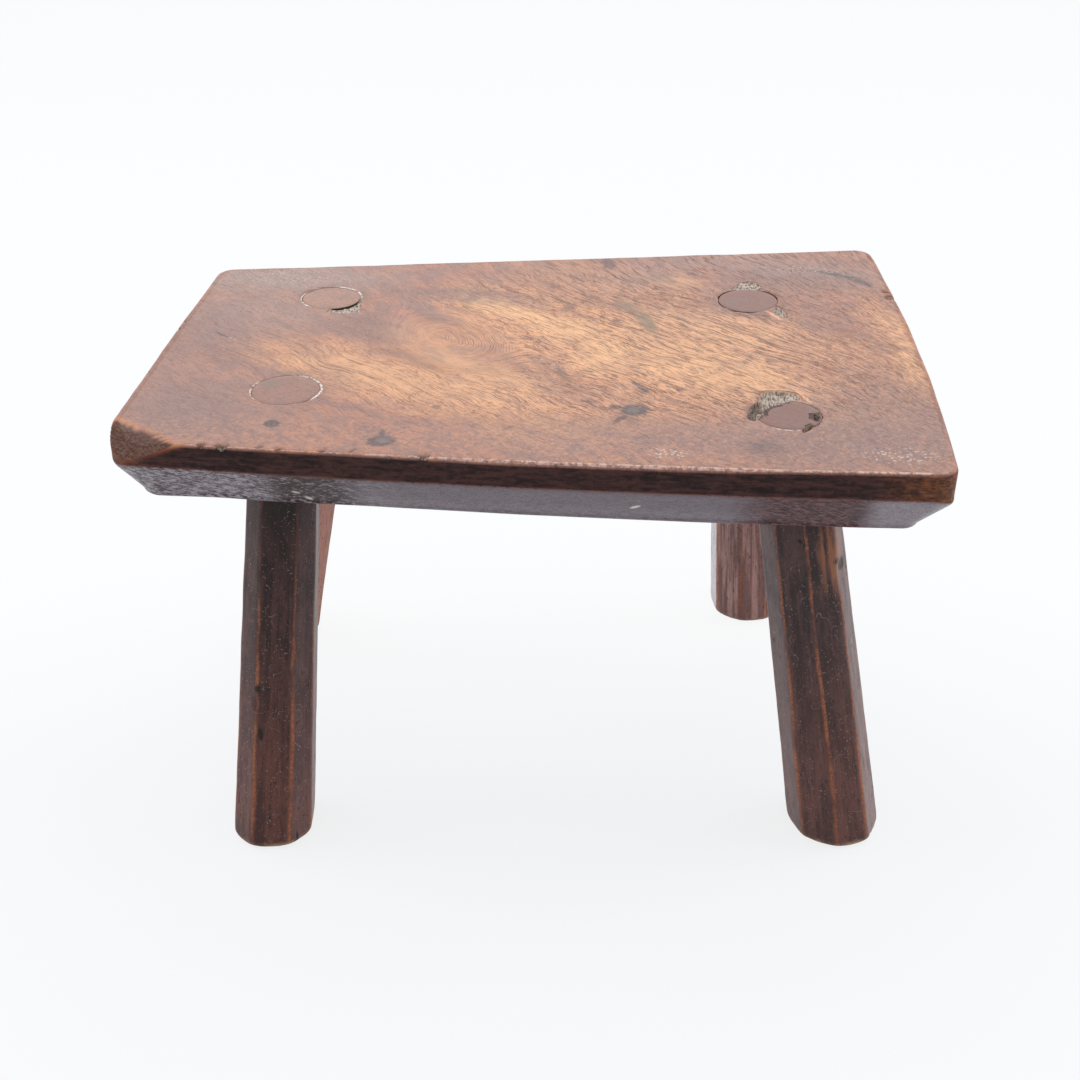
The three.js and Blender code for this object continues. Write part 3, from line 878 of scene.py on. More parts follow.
# the grey and the near-white on the next line are painted sheen of the bright background on the legs'
# sides
LEG_GREY_SHEEN, LEG_TAN, LEG_WHITE_SHEEN = (0.30, 0.21, 0.203), (0.52, 0.24, 0.175), (0.74, 0.71, 0.71)
LEG_LINE, LEG_PIT, LEG_MARK = (0.022, 0.010, 0.008), (0.014, 0.008, 0.007), (0.008, 0.005, 0.004)
LEG_FLECK, LEG_SCRATCH = (0.40, 0.29, 0.25), (0.38, 0.29, 0.26)
LEG_EDGE = (0.25, 0.080, 0.036)
LEG_GLOW, LEG_GLOW_HIGH = ((0.20, 0.070, 0.040), (0.40, 0.145, 0.070)), (0.13, 0.042, 0.032)
LEG_FOOT, LEG_FRESH = (0.52, 0.33, 0.20), (0.30, 0.115, 0.055)
LEG_SOLE = (0.17, 0.10, 0.072), (0.36, 0.23, 0.155)
TENON = (0.285, 0.150, 0.128), (0.49, 0.285, 0.225)
# the last colour on the next line is painted shade, on the tenon's walls inside the mortise and deep in
# its broken place
TENON_RING, TENON_DIRT, TENON_WALL_SHADE = (0.15, 0.08, 0.07), (0.24, 0.19, 0.165), (0.030, 0.018, 0.014)

# Places as x, y, half length, half width, turn, softness, strength
TAN_PLACES = [
    (40, 0, 110, 48, -38, 0.35, 1.0), (-88, -32, 62, 26, -34, 0.4, 0.9),
    (-30, -62, 75, 26, -20, 0.4, 0.85), (135, -10, 60, 34, -40, 0.5, 0.7),
    (-50, 6, 34, 20, -30, 0.5, 0.65), (40, 85, 60, 26, -25, 0.5, 0.5), (185, 0, 60, 10, -88, 0.5, 0.9),
    (62, -66, 40, 22, 0, 0.6, 0.7), (110, -70, 50, 22, -10, 0.6, 0.35), (0, -98, 30, 12, 0, 0.6, 0.5),
]
LIGHT_PLACES = [
    (-14, 48, 34, 9, -30, 0.4, 1.0), (16, 22, 30, 14, -48, 0.45, 1.0), (34, -14, 26, 15, -72, 0.5, 0.9),
    (82, -28, 52, 24, -35, 0.5, 0.75), (96, 18, 46, 20, -38, 0.5, 0.6),
    (-84, -36, 42, 13, -28, 0.5, 0.45), (-30, -58, 40, 12, -20, 0.6, 0.4),
    (188, -6, 46, 5, -88, 0.6, 0.6), (80, 85, 10, 9, 0, 0.6, 0.4), (-24, -36, 34, 12, -35, 0.6, 0.5),
    (54, 18, 18, 10, -50, 0.5, 0.6),
]
GREY_PLACES = [
    (-140, 88, 52, 22, 5, 0.5, 0.9), (-150, 40, 34, 26, 0, 0.6, 0.6), (158, 100, 40, 20, -15, 0.5, 0.7),
    (60, 92, 22, 12, 0, 0.6, 0.4), (150, -92, 48, 38, 0, 0.5, 0.35), (60, -105, 90, 22, 3, 0.6, 0.3),
    (-160, -60, 40, 34, -50, 0.6, 0.2), (112, 118, 50, 12, 3, 0.6, 0.5),
]
DARK_PLACES = [
    (-40, 66, 44, 9, -10, 0.5, 1.0), (-58, 42, 30, 8, -42, 0.5, 0.9), (-88, 18, 30, 13, -28, 0.5, 0.8),
    (-165, 10, 40, 20, -60, 0.5, 0.7), (8, -24, 12, 7, -60, 0.6, 0.7), (147, 22, 8, 12, 20, 0.5, 0.8),
    (178, -60, 40, 14, -60, 0.6, 0.6), (-165, -80, 36, 26, -40, 0.6, 0.9),
    (30, -95, 70, 12, -5, 0.6, 0.3), (176, 92, 13, 8, -50, 0.4, 0.9), (-115, -5, 22, 10, -50, 0.6, 0.4),
    (138, 92, 34, 24, 10, 0.6, 0.75), (20, 100, 40, 14, 0, 0.7, 0.4), (150, -108, 62, 26, 0, 0.5, 0.85),
    (-184, -30, 12, 60, -4, 0.5, 0.5), (-98, -45, 16, 12, -20, 0.6, 0.5),
    (166, -44, 22, 18, -40, 0.6, 0.4),
]
# Dirt round the tenons
HALOS = [
    (-119.6, -58.2, 21, 21, 0, 0.2, 0.45), (114.3, 60.3, 22, 22, 0, 0.2, 0.6),
    (-113.6, 61.3, 21, 20, 0, 0.2, 0.45), (121, -81, 22, 22, 0, 0.2, 0.35),
]
EYE_ARCS = [
    (-32, 9, 42, 12, -42, 0.4, 1.0), (-22, -14, 20, 12, -20, 0.5, 0.8),
]
LINED = [
    (20, 40, 90, 34, -38, 0.4, 1.0), (120, 10, 80, 50, -38, 0.4, 0.9), (-90, -45, 90, 40, -38, 0.5, 0.6),
    (100, 90, 60, 30, 0, 0.5, 0.5),
]
STAINS = [
    (48.6, -78, 6.6, 6.2, 0, 0.25, 1.0), (39.6, -75, 3.2, 3.0, 0, 0.3, 0.8),
    (41.7, -88, 5.2, 1.9, 55, 0.4, 0.8), (-67.5, -113, 6.6, 5.4, 10, 0.25, 0.9),
    (-68, -105.5, 1.4, 4.5, 0, 0.4, 0.8), (-120.3, -95.2, 3.9, 3.9, 0, 0.3, 1.0),
    (52.8, -53, 7.0, 1.7, -62, 0.4, 0.8), (39.4, 117, 10, 3.6, -80, 0.4, 0.8),
    (16.5, 48.5, 4.5, 3.0, 60, 0.5, 0.6), (0, -17, 3.4, 1.6, 0, 0.4, 0.6),
    (14, -36, 6.5, 2.4, -70, 0.5, 0.55), (105, -117, 9, 8, 0, 0.7, 0.45),
    (119, -19.7, 3.4, 2.0, -50, 0.5, 0.6), (-45, -76, 2.2, 2.0, 0, 0.4, 0.7),
    (168, 100, 14, 2.6, -28, 0.5, 0.8), (181, 88, 8, 2.4, -62, 0.5, 0.7),
    (30, 20.5, 8.5, 0.9, -50, 0.5, 0.7), (-10, -98, 2.6, 1.4, 30, 0.5, 0.5),
    (-164, 9, 4.6, 0.9, -40, 0.4, 0.9),
]
SPLINTERS = [
    (126.3, 39.5, 6.5, 1.3, -62, 0.5, 0.8), (116, -55, 7, 1.0, 0, 0.5, 0.8),
    (129.9, -62.5, 6.5, 1.0, -68, 0.5, 0.8),
]
# Pale flecks on the bevel: x, depth below the top, then as above
BEVEL_FLECKS = [
    (-108, 25.5, 2.0, 0.7, 12, 0.4, 0.9), (-102.5, 29.5, 2.0, 1.0, 25, 0.4, 0.9),
    (48, 24.5, 2.4, 0.8, -25, 0.4, 0.9),
]
STAIN_HEARTS = [
    (47.6, -77.6, 3.4, 3.2, 0, 0.4, 0.8), (-66.5, -112, 3.4, 2.6, 0, 0.4, 1.0),
]
STREAKS = [
    (49, 50, 12, 4.6, -58, 0.4, 0.8), (58, 30, 14, 4.2, -78, 0.4, 1.0), (63, 92, 12, 6, 20, 0.7, 0.3),
    (-97.5, 65, 2.4, 8, 5, 0.5, 0.9), (-119, -40, 6, 3, 0, 0.5, 0.7),
]
SCRATCHED = [
    (62.5, -123, 8, 6.4, 0, 0.35, 0.9), (165, -124, 16, 8, 0, 0.5, 0.8),
    (-137, 92, 34, 13, -10, 0.5, 0.4), (150, 108, 28, 7, -12, 0.5, 0.55), (62, 110, 14, 10, 0, 0.6, 0.3),
    (-47, 97, 1.6, 1.6, 0, 0.4, 1.0), (-158, 5, 3.8, 0.6, -35, 0.5, 1.0),
]
# Pale rims of the mortises: centre, radius, direction and spread in degrees, strength
RIMS = [
    (-113.6, 61.3, 16.2, 192, 46, 1.0), (-113.6, 61.3, 16.4, 45, 50, 0.9),
    (-119.6, -58.2, 17.1, 20, 75, 1.0), (120.4, -82.7, 16.4, -98, 30, 0.45),
    (114.3, 60.3, 16.6, -110, 30, 0.8), (-119.6, -58.2, 17.1, 185, 40, 0.7),
]
# The rubbed ends of the sides
WARM_SIDES = [
    (196, -125, 34, 26, 0, 0.5, 1.0), (200, -20, 26, 90, 0, 0.4, 0.5), (-196, -100, 14, 30, 0, 0.5, 0.5),
]

# A freshly broken place on the front right leg, with its half sizes
FRESH_PLACE = (143.0, -103.0, 168.0)
FRESH_SIZE = (7.0, 12.0, 26.0)
# Nicks, gouges and worm holes in the legs: place, half width and half height
LEG_MARKS = [
    (-137.2, -112, 86.5, 2.0, 2.6), (-136.6, -117.3, 62.4, 1.4, 4.6), (-149.6, -95, 72, 1.5, 1.5),
    (-151.5, -121, 3, 0.8, 5), (-121.4, -127.5, 3, 0.8, 5.5), (127.3, -106.5, 171.5, 1.3, 1.3),
    (157.8, -104, 110.2, 1.0, 1.0), (149.5, -98, 154, 4.0, 3.4), (145, -102, 158, 2.4, 2.4),
    (158, -124, 12, 1.2, 2.2),
]


def spot(recipe, place, x, y, long, wide, turn=0.0, soft=0.5):
    """1 inside an ellipse on the seat's top, fading out at its rim. Sizes in mm, turn in degrees."""
    values = {"Vector": place, "Location": (x, y, 0), "Rotation": (0, 0, math.radians(turn)),
              "Scale": (long, wide, 1e6)}
    inside = recipe.node("ShaderNodeMapping", "Vector", values, vector_type="TEXTURE")
    return recipe.ramp(recipe.vector("LENGTH", inside), 1 + soft, max(1 - soft, 0.0))


def spots(recipe, place, table):
    """Several ellipses together: x, y, half length, half width, turn, softness, strength."""
    total = None
    for *shape, strength in table:
        one = spot(recipe, place, *shape) * strength
        total = one if total is None else total.math("MAXIMUM", one)
    return total


def ridges(recipe, value, width):
    """Thin lines where a noise crosses its middle."""
    return recipe.ramp((value - 0.5).math("ABSOLUTE"), width, 0.0)


def growth_lines(m, place):
    """Across the growth lines, with and without the eye, along them, how near the eye is, and how far
    from its middle, in mm."""
    x, y, _ = m.split(place)
    back = (y - 45).math("MAXIMUM", 0.0)
    level_y = y - back * back * (1 / 330)
    right = (x - 130).math("MAXIMUM", 0.0)
    bent_x = x + right * right * 0.008
    slant = math.radians(43)
    flow = bent_x * math.sin(slant) + level_y * math.cos(slant)
    run = x * math.cos(slant) - level_y * math.sin(slant)
    ex, ey = EYE
    turned = math.radians(EYE_TURN)
    dx, dy = x - ex, y - ey
    long = (dx * math.cos(turned) + dy * math.sin(turned)) * EYE_SQUEEZE
    wide = dy * math.cos(turned) - dx * math.sin(turned)
    radius = (long * long + wide * wide).math("SQRT")
    near = m.ramp(radius, EYE_REACH[1], EYE_REACH[0])
    offset = ex * math.sin(slant) + ey * math.cos(slant)
    across = flow + (radius + offset - flow) * near
    return across, flow, run, near, radius


def seat_material(name, gloss):
    """The plank's wood: gloss is the strength of its sheen."""
    m = Recipe(name)
    place = m.place()
    x, y, z = m.split(place)
    sway = m.vector("SCALE", m.wander(place, 0.022, 3.0), scale=15.0)
    across, flow, run, near_eye, radius = growth_lines(m, m.vector("ADD", place, sway))
    tan, light, grey = m.split(m.attribute("broad", "Vector"))
    dark = m.attribute("dark")

    # broad colour: pale heart, red-brown margins, grey handled and dirty places
    drift = m.noise(m.join(run * 0.05, flow * 0.13, 0.0), 1.0, 2.0, 0.5)
    mottle = m.noise(place, 0.07, 6.0, 0.66)
    body = m.mix(m.ramp(drift * 0.5 + mottle * 0.5, 0.41, 0.58), BROWN, RED)
    body = m.mix(tan * m.ramp(drift + mottle * 0.5, 0.58, 0.84, 0.6, 1.0), body, TAN)
    body = m.mix(light * m.ramp(drift + mottle * 0.4, 0.5, 0.78, 0.65, 1.0), body, LIGHT)
    body = m.mix(grey * m.ramp(mottle, 0.3, 0.6, 0.35, 0.9), body, GREY)
    body = m.mix(dark * m.ramp(mottle + drift * 0.4, 0.5, 0.85, 0.3, 0.9), body, PURPLE)

    # growth lines: fine arcs round the eye, long dark lines, fine grain
    broken = m.noise(m.join(run * 0.07, across * 0.5, 5.0), 1.0, 2.0, 0.5)
    arcs = (radius * (2 * math.pi / EYE_PERIOD)).math("SINE")
    arc_place = near_eye * spots(m, place, EYE_ARCS) * m.ramp(broken, 0.35, 0.6)
    arcs = m.ramp(arcs, 0.0, 0.9) * arc_place
    long_lines = ridges(m, m.noise(m.join(run * 0.03, across, 2.0), 0.30, 1.0, 0.4), 0.045)
    long_lines = long_lines * m.ramp(broken, 0.40, 0.54) * spots(m, place, LINED)
    grain = m.noise(m.join(run * 0.05, across * 0.36, z * 0.2), 1.0, 1.0, 0.5)
    thin = ridges(m, grain, 0.048)
    fine_dash = m.ramp(m.noise(m.join(run * 0.34, across * 2.1, z), 1.0, 2.0, 0.6), 0.55, 0.63)
    long_dash = m.ramp(m.noise(m.join(run * 0.08, across * 1.2, z), 1.0, 1.0, 0.5), 0.57, 0.64)
    plain = (1 - near_eye * 0.7) * (0.35 + m.ramp(x, -130.0, 20.0) * 0.45 + tan * 0.45)
    plain = plain * (1 - light * 0.55)
    near_front = m.ramp(y, -72.0, -104.0)
    plain = plain * m.ramp(y, 120.0, 60.0, 0.45, 1.0) * (1 - near_front * 0.55)
    fleck = m.noise(place, 0.75, 2.0, 0.6)
    wiry = ridges(m, m.noise(m.join(run * 0.045, across * 0.62, 9.0), 1.0, 1.0, 0.5), 0.075)
    wiry = wiry * m.ramp(m.noise(m.join(run * 0.12, across * 0.4, 3.0), 1.0, 1.0), 0.44, 0.54)
    wiry_share = wiry * m.ramp(x, -70.0, 60.0, 0.25, 1.0) * (1 - near_front * 0.6)
    body = m.mix(wiry_share * (1 - near_eye * 0.8) * (1 - light * 0.4), body, WIRY)
    body = m.mix(arcs * 0.9, body, LINE)
    body = m.mix(long_lines, body, LINE)
    body = m.mix(thin * plain * m.ramp(broken, 0.3, 0.62, 0.15, 0.75), body, LINE)
    body = m.mix(fine_dash * plain * m.ramp(mottle, 0.35, 0.6, 0.35, 0.75), body, DASH)
    body = m.mix(long_dash * plain * 0.25, body, DASH)
    body = m.mix(m.ramp(fleck, 0.52, 0.70) * (plain + near_front * 0.4) * 0.35, body, LIGHT)
    speck = m.noise(place, 1.1, 3.0, 0.7)
    body = m.mix(m.ramp(speck, 0.55, 0.68) * (near_front * 0.35 + 0.15), body, DASH)
    patchy = m.noise(place, 0.16, 4.0, 0.65)
    blotched = near_front.math("MAXIMUM", m.ramp(x, 120.0, 160.0) * 0.7)
    specks = m.noise(place, 0.34, 4.0, 0.72)
    body = m.mix(m.ramp(specks, 0.50, 0.62) * blotched * 0.38, body, BLOTCH_PALE)
    body = m.mix(m.ramp(specks + patchy * 0.6, 0.78, 0.66) * blotched * 0.42, body, BLOTCH_DARK)
    grit = m.cells(place, 0.19)
    grit = m.ramp(grit, 0.13, 0.07) * m.ramp(m.noise(place, 0.12, 1.0), 0.5, 0.56)
    body = m.mix(grit * 0.6, body, MARK)

    # single marks: ink-dark stains, a green-grey streak, pale scratched and stippled places
    ragged = m.vector("ADD", place, m.vector("SCALE", m.wander(place, 0.35, 2.0), scale=3.2))
    body = m.mix(spots(m, ragged, STAINS) * m.ramp(fleck, 0.3, 0.65, 0.6, 0.95), body, MARK)
    body = m.mix(spots(m, ragged, STAIN_HEARTS) * 0.6, body, STAIN_HEART)
    body = m.mix(spots(m, ragged, STREAKS) * m.ramp(mottle, 0.3, 0.6, 0.5, 0.8), body, GREEN)
    body = m.mix(spots(m, ragged, SPLINTERS), body, SPLINTER)
    stipple = m.cells(place, 0.55)
    stipple = m.ramp(stipple, 0.46, 0.22) * m.ramp(m.noise(place, 0.2, 2.0), 0.38, 0.52)
    body = m.mix(spots(m, place, SCRATCHED) * stipple, body, PALE)
    for cx, cy, ring_radius, facing, spread, strength in RIMS:
        offset = m.vector("SUBTRACT", m.vector("MULTIPLY", place, (1, 1, 0)), (cx, cy, 0))
        rim = m.ramp((m.vector("LENGTH", offset) - ring_radius).math("ABSOLUTE"), 0.85, 0.35)
        towards = (math.cos(math.radians(facing)), math.sin(math.radians(facing)), 0)
        towards = m.vector("DOT_PRODUCT", m.vector("NORMALIZE", offset), towards)
        rim = rim * m.ramp(towards, math.cos(math.radians(spread)), math.cos(math.radians(spread * 0.6)))
        body = m.mix(rim * m.ramp(m.noise(place, 0.5, 1.0), 0.38, 0.5) * strength, body, CRUST)

    # dark patina on the sides, rubbed through on the arrises and at the right end; the under-bevel's
    # violet grey is partly painted sheen, and the top edge's lip partly a painted highlight
    front = m.ramp(y, -95.0, -110.0)
    drop = z * -1.0 + SEAT_TOP
    rounder = front * m.ramp(x, -70.0, -10.0) * m.ramp(x, 140.0, 80.0) * 0.8
    side = m.ramp(drop - rounder, 2.0 - front * 1.2, 4.2 - front * 1.9)
    streaks = m.noise(m.join(x * 0.07, y * 0.07, z * 0.5), 1.0, 3.0, 0.6)
    spatter = m.noise(m.join(x * 0.3, y * 0.3, z * 0.6), 1.0, 3.0, 0.65)
    under = m.ramp(m.attribute("below"), 0.35, 0.65)
    level = m.ramp(m.attribute("below"), 1.2, 1.8)
    bevel = under * (1 - level)
    patina = m.mix(m.ramp(streaks * 0.6 + spatter * 0.4, 0.38, 0.62), *PATINA)
    # violet grey on the under-bevel: partly dust, partly painted sheen of the bright floor
    bevel_dust_and_sheen = m.mix(m.ramp(drop, 22.0, 33.0), *VIOLET_DUST_AND_SHEEN)
    patina = m.mix(under * m.ramp(spatter, 0.3, 0.6, 0.6, 0.95), patina, bevel_dust_and_sheen)
    hewn = bevel * m.ramp(x, -50.0, -105.0)
    chips = m.noise(m.join(x * 0.30 + z * 0.42, y * 0.3, z * 0.8), 1.0, 5.0, 0.85)
    patina = m.mix(hewn * m.ramp(chips, 0.51, 0.44) * 0.8, patina, HEWN_DARK)
    # pale flecks on the hewn bevel: partly pale wood, partly painted glints
    patina = m.mix(hewn * m.ramp(chips, 0.46, 0.60), patina, HEWN_PALE_AND_GLINTS)
    browner = bevel * m.ramp(x, -126.0, -112.0) * m.ramp(x, -72.0, -90.0)
    patina = m.mix(browner * m.ramp(spatter, 0.35, 0.55), patina, BROWNED)
    mottled = m.mix(m.ramp(chips, 0.44, 0.58), *WINE)
    wine = bevel * m.ramp(x, 82.0, 112.0) * m.ramp(x, 160.0, 146.0)
    patina = m.mix(wine * m.ramp(spatter, 0.35, 0.6, 0.85, 1.0), patina, mottled)
    bevel_end = bevel * m.ramp(x, 146.0, 160.0) * m.ramp(chips, 0.40, 0.56, 0.2, 0.9)
    patina = m.mix(bevel_end, patina, BEVEL_END)
    warm = m.attribute("warm") * (1 - under) * m.ramp(spatter, 0.35, 0.6, 0.35, 0.95)
    patina = m.mix(warm, patina, m.mix(m.ramp(chips, 0.42, 0.58), *WARM))
    sawn = m.mix(m.ramp(drift * 0.5 + mottle * 0.5, 0.40, 0.60), *SAWN)
    patina = m.mix(level, patina, m.mix(thin * 0.6, sawn, LINE))
    flecks = spots(m, m.join(x, drop, 0.0), BEVEL_FLECKS) * bevel * front
    patina = m.mix(flecks, patina, BEVEL_FLECK)
    body = m.mix(side, body, patina)
    crumbs = m.noise(place, 0.45, 2.0, 0.6)
    arris = m.attribute("edge")
    rubbed = m.ramp(arris + patchy * 0.7 - 0.35, 0.35, 0.85)
    rubbed = rubbed * side * m.ramp(drop, 8.0, 12.0, 0.75, 0.7) * m.ramp(crumbs, 0.36, 0.54, 0.5, 1.0)
    body = m.mix(rubbed, body, m.mix(m.ramp(drop, 8.0, 12.0), *RUBBED))
    # the lip along the top edge: partly worn wood, partly a painted highlight
    lip_wear_and_highlight = m.ramp(arris, 0.25, 0.7) * m.ramp(drop - rounder, 1.0, 0.45)
    lip_wear_and_highlight = lip_wear_and_highlight * m.ramp(patchy, 0.25, 0.5, 0.4, 1.0) * m.ramp(crumbs, 0.40, 0.58, 0.22, 1.0)
    lip_wear_and_highlight = lip_wear_and_highlight * m.ramp(x, -120.0, 20.0, 0.55, 1.0) * m.ramp(x, 188.0, 176.0, 0.2, 1.0)
    body = m.mix(lip_wear_and_highlight * (0.08 + front * 0.87), body, LIP_WEAR_AND_HIGHLIGHT)

    worn = m.attribute("worn")
    pitted = m.ramp(m.noise(m.join(x * 0.5, y * 0.5, z * 1.6), 1.0, 3.0, 0.65), 0.38, 0.62)
    body = m.mix(worn * 0.92, body, m.mix(pitted, *WORN))
    rim_colour = m.mix(m.ramp(drop, 1.0, 3.5), *WORN_RIM)
    body = m.mix(m.attribute("rim") * 0.8, body, rim_colour)

    raw = m.attribute("raw")
    fibres = m.noise(m.join(x * 1.3, y * 0.35, z * 0.6), 1.0, 2.0, 0.55)
    # torn wood deeper than about 5 mm, and the mortise walls, turn dark: painted shade
    depth = m.ramp(z, SEAT_TOP - 5.5, SEAT_TOP - 3.9) * m.ramp(raw, 0.6, 0.9)
    torn = m.mix(m.ramp(fibres * 0.6 + crumbs * 0.4, 0.38, 0.60), *TORN)
    # fresh torn wood along the hollows' upper rims, with a painted highlight
    torn_rim_and_highlight = m.ramp(z, SEAT_TOP - 1.5, SEAT_TOP - 0.7) * m.ramp(y, 20.0, -40.0)
    torn = m.mix(torn_rim_and_highlight * 0.6, torn, TORN_RIM_AND_HIGHLIGHT)
    browned = m.ramp(x, 110.5, 105.0) * m.ramp(x, 60.0, 80.0) * m.ramp(fibres, 0.3, 0.55, 0.9, 0.55)
    torn = m.mix(browned, torn, TORN_BROWN)
    torn = m.mix(depth, TORN_DEEP_SHADE, torn)
    body = m.mix(raw, body, torn)

    smooth = bevel * (1 - worn) * (1 - hewn * 0.3) * (1 - wine * 1.1)
    rough = 0.32 + mottle * 0.14 + fine_dash * 0.14 + raw * 0.4 + worn * 0.3 + side * 0.16
    relief = thin * -0.05 - wiry * 0.08 - fine_dash * 0.09 - long_lines * 0.12 - arcs * 0.05
    relief = relief + fleck * 0.06 + hewn * chips * 1.6 + side * streaks * 0.12
    relief = relief + raw * (fibres * 0.4 + crumbs * 0.6) + worn * pitted * 0.12 - grit * 0.1
    return m.surface(body, rough - smooth * 0.30, relief, 0.7, gloss)


def leg_material():
    m = Recipe("leg_wood")
    place = m.place()
    gx, gy, gz = m.split(m.attribute("grain", "Vector"))
    x, _, z = m.split(place)
    tone_and_sheen = m.attribute("tone_and_sheen")
    streaks = m.noise(m.join(gx * 0.35, gy * 0.35, gz * 0.012), 1.0, 3.0, 0.55)
    fine = m.noise(m.join(gx, gy, gz * 0.07), 1.5, 3.0, 0.65)
    blotch = m.noise(m.join(gx * 0.08, gy * 0.08, gz * 0.035), 1.0, 4.0, 0.65)
    speckle = m.noise(place, 0.9, 3.0, 0.65)
    patchy = m.noise(m.join(gx * 0.12, gy * 0.12, gz * 0.04), 1.0, 3.0, 0.65)
    low = m.ramp(gz + blotch * 120.0, 200.0, 90.0)
    body = m.mix(m.ramp(streaks * 0.35 + blotch * 0.65, 0.42, 0.58), *LEG_BODY)
    body = m.mix(low * m.ramp(streaks * 0.4 + blotch * 0.6, 0.42, 0.58, 0.35, 0.85), body, LEG_LOW)
    body = m.mix(m.ramp(gz, 120.0, 185.0) * m.ramp(x, 60.0, -60.0) * 0.75, body, LEG_HIGH)
    dull = m.mix(m.ramp(streaks, 0.40, 0.58), *LEG_DULL)
    # a grey for sides of low value and a near-white above 2.2: painted sheen of the bright background
    dull = m.mix(m.ramp(tone_and_sheen, 0.75, 0.9), LEG_GREY_SHEEN, dull)
    body = m.mix(tone_and_sheen.math("MINIMUM", 1.0) * m.ramp(blotch, 0.35, 0.6, 0.7, 1.0), body, dull)
    body = m.mix(m.ramp(tone_and_sheen, 1.0, 2.0), body, LEG_TAN)
    body = m.mix(m.ramp(tone_and_sheen, 2.2, 2.9), body, LEG_WHITE_SHEEN)
    body = m.mix(m.ramp(fine, 0.50, 0.66) * 0.4, body, LEG_LINE)
    flecks = m.ramp(m.noise(place, 1.1, 1.0, 0.5), 0.66, 0.72) * m.ramp(patchy, 0.42, 0.56, 0.3, 1.0)
    body = m.mix(flecks * 0.6, body, LEG_FLECK)
    scratches = ridges(m, m.noise(place, 0.10, 1.0), 0.006)
    scratches = scratches * m.ramp(m.noise(place, 0.13, 2.0), 0.50, 0.58)
    body = m.mix(scratches * 0.6, body, LEG_SCRATCH)
    pits = m.ramp(m.noise(m.join(gx * 0.6, gy * 0.6, gz * 0.25), 1.0, 3.0, 0.7), 0.60, 0.68)
    body = m.mix(pits * 0.75, body, LEG_PIT)
    edge = m.attribute("edge")
    browned = m.ramp(edge, 0.02, 0.6) * low * m.ramp(patchy, 0.40, 0.54, 0.2, 0.95)
    body = m.mix(browned, body, LEG_EDGE)
    rubbed = m.ramp(edge + patchy * 1.2 + speckle * 0.4 - 0.8, 0.48, 0.82)
    rubbed = rubbed * m.ramp(patchy, 0.42, 0.54, 0.3, 1.0)
    glow = m.mix(m.ramp(speckle, 0.4, 0.6), *LEG_GLOW)
    glow = m.mix(m.ramp(gz, 110.0, 165.0) * m.ramp(x, 60.0, -60.0), glow, LEG_GLOW_HIGH)
    body = m.mix(rubbed * 0.9, body, glow)
    foot = m.ramp(gz + speckle * 4.0, 7.0, 3.5)
    body = m.mix(foot * m.ramp(patchy, 0.38, 0.56, 0.15, 0.95), body, LEG_FOOT)
    values = {"Vector": place, "Location": FRESH_PLACE, "Scale": FRESH_SIZE}
    fresh = m.node("ShaderNodeMapping", "Vector", values, vector_type="TEXTURE")
    fresh = m.ramp(m.vector("LENGTH", fresh), 1.3, 0.6) * m.ramp(streaks * 0.6 + patchy * 0.4, 0.44, 0.56)
    body = m.mix(fresh * 0.85, body, LEG_FRESH)
    marks = None
    for mx, my, mz, wide, high in LEG_MARKS:
        values = {"Vector": place, "Location": (mx, my, mz), "Scale": (wide, wide, high)}
        inside = m.node("ShaderNodeMapping", "Vector", values, vector_type="TEXTURE")
        mark = m.ramp(m.vector("LENGTH", inside) + speckle * 0.8, 1.7, 1.0)
        marks = mark if marks is None else marks.math("MAXIMUM", mark)
    body = m.mix(marks * 0.9, body, LEG_MARK)
    _, _, upward = m.split(m.node("ShaderNodeNewGeometry", "Normal"))
    near_top = m.ramp(gz, SEAT_TOP - 3, SEAT_TOP - 1)
    # the top of the tenon's wall, inside the mortise, is painted dark: painted shade in the gap
    body = m.mix(near_top, body, TENON_WALL_SHADE)
    end_grain = near_top * m.ramp(upward, 0.35, 0.7)
    rings = m.noise(m.join(gx * 0.25, gy * 1.1, 0.0), 1.0, 3.0, 0.6)
    dirt = m.noise(place, 0.09, 3.0, 0.6)
    tenon = m.mix(m.attribute("tenon"), *TENON)
    tenon = m.mix(m.ramp(rings * 0.5 + speckle * 0.5, 0.44, 0.62) * 0.4, tenon, TENON_RING)
    tenon = m.mix(m.ramp(dirt, 0.5, 0.66) * 0.5, tenon, TENON_DIRT)
    body = m.mix(end_grain, body, tenon)
    sawn = m.mix(m.ramp(rings * 0.5 + speckle * 0.5, 0.42, 0.58), *LEG_SOLE)
    body = m.mix(m.ramp(upward, -0.5, -0.85), body, sawn)
    torn = m.mix(m.ramp(speckle, 0.4, 0.6), *TORN)
    # deep in the tenon's broken place the torn wood turns dark: painted shade
    torn = m.mix(m.ramp(z, SEAT_TOP - 6.0, SEAT_TOP - 4.0), TENON_WALL_SHADE, torn)
    body = m.mix(m.attribute("raw"), body, torn)
    relief = streaks * 0.12 + fine * 0.05 + speckle * 0.07 + blotch * 0.25 - pits * 0.25 - marks * 0.5
    return m.surface(body, 0.30 + speckle * 0.22 + foot * 0.3, relief, 0.6, 0.25)


# Studio: share of the floor's look that is plain white, world light, and lamps as name, place, size
# and watts

FLOOR_WHITE = 0.80
WORLD_LIGHT = 0.45
LAMPS = [
    ("overhead", (0.0, 0.35, 1.7), (2.2, 1.6), 12),
    ("back", (0.0, 1.9, 1.1), (2.4, 1.2), 4),
    ("left", (-1.6, 0.2, 0.7), (1.0, 1.2), 12),
    ("right", (1.6, 0.2, 0.7), (1.0, 1.2), 12),
]


LAMP_TARGET = (0, 0, 0.12)
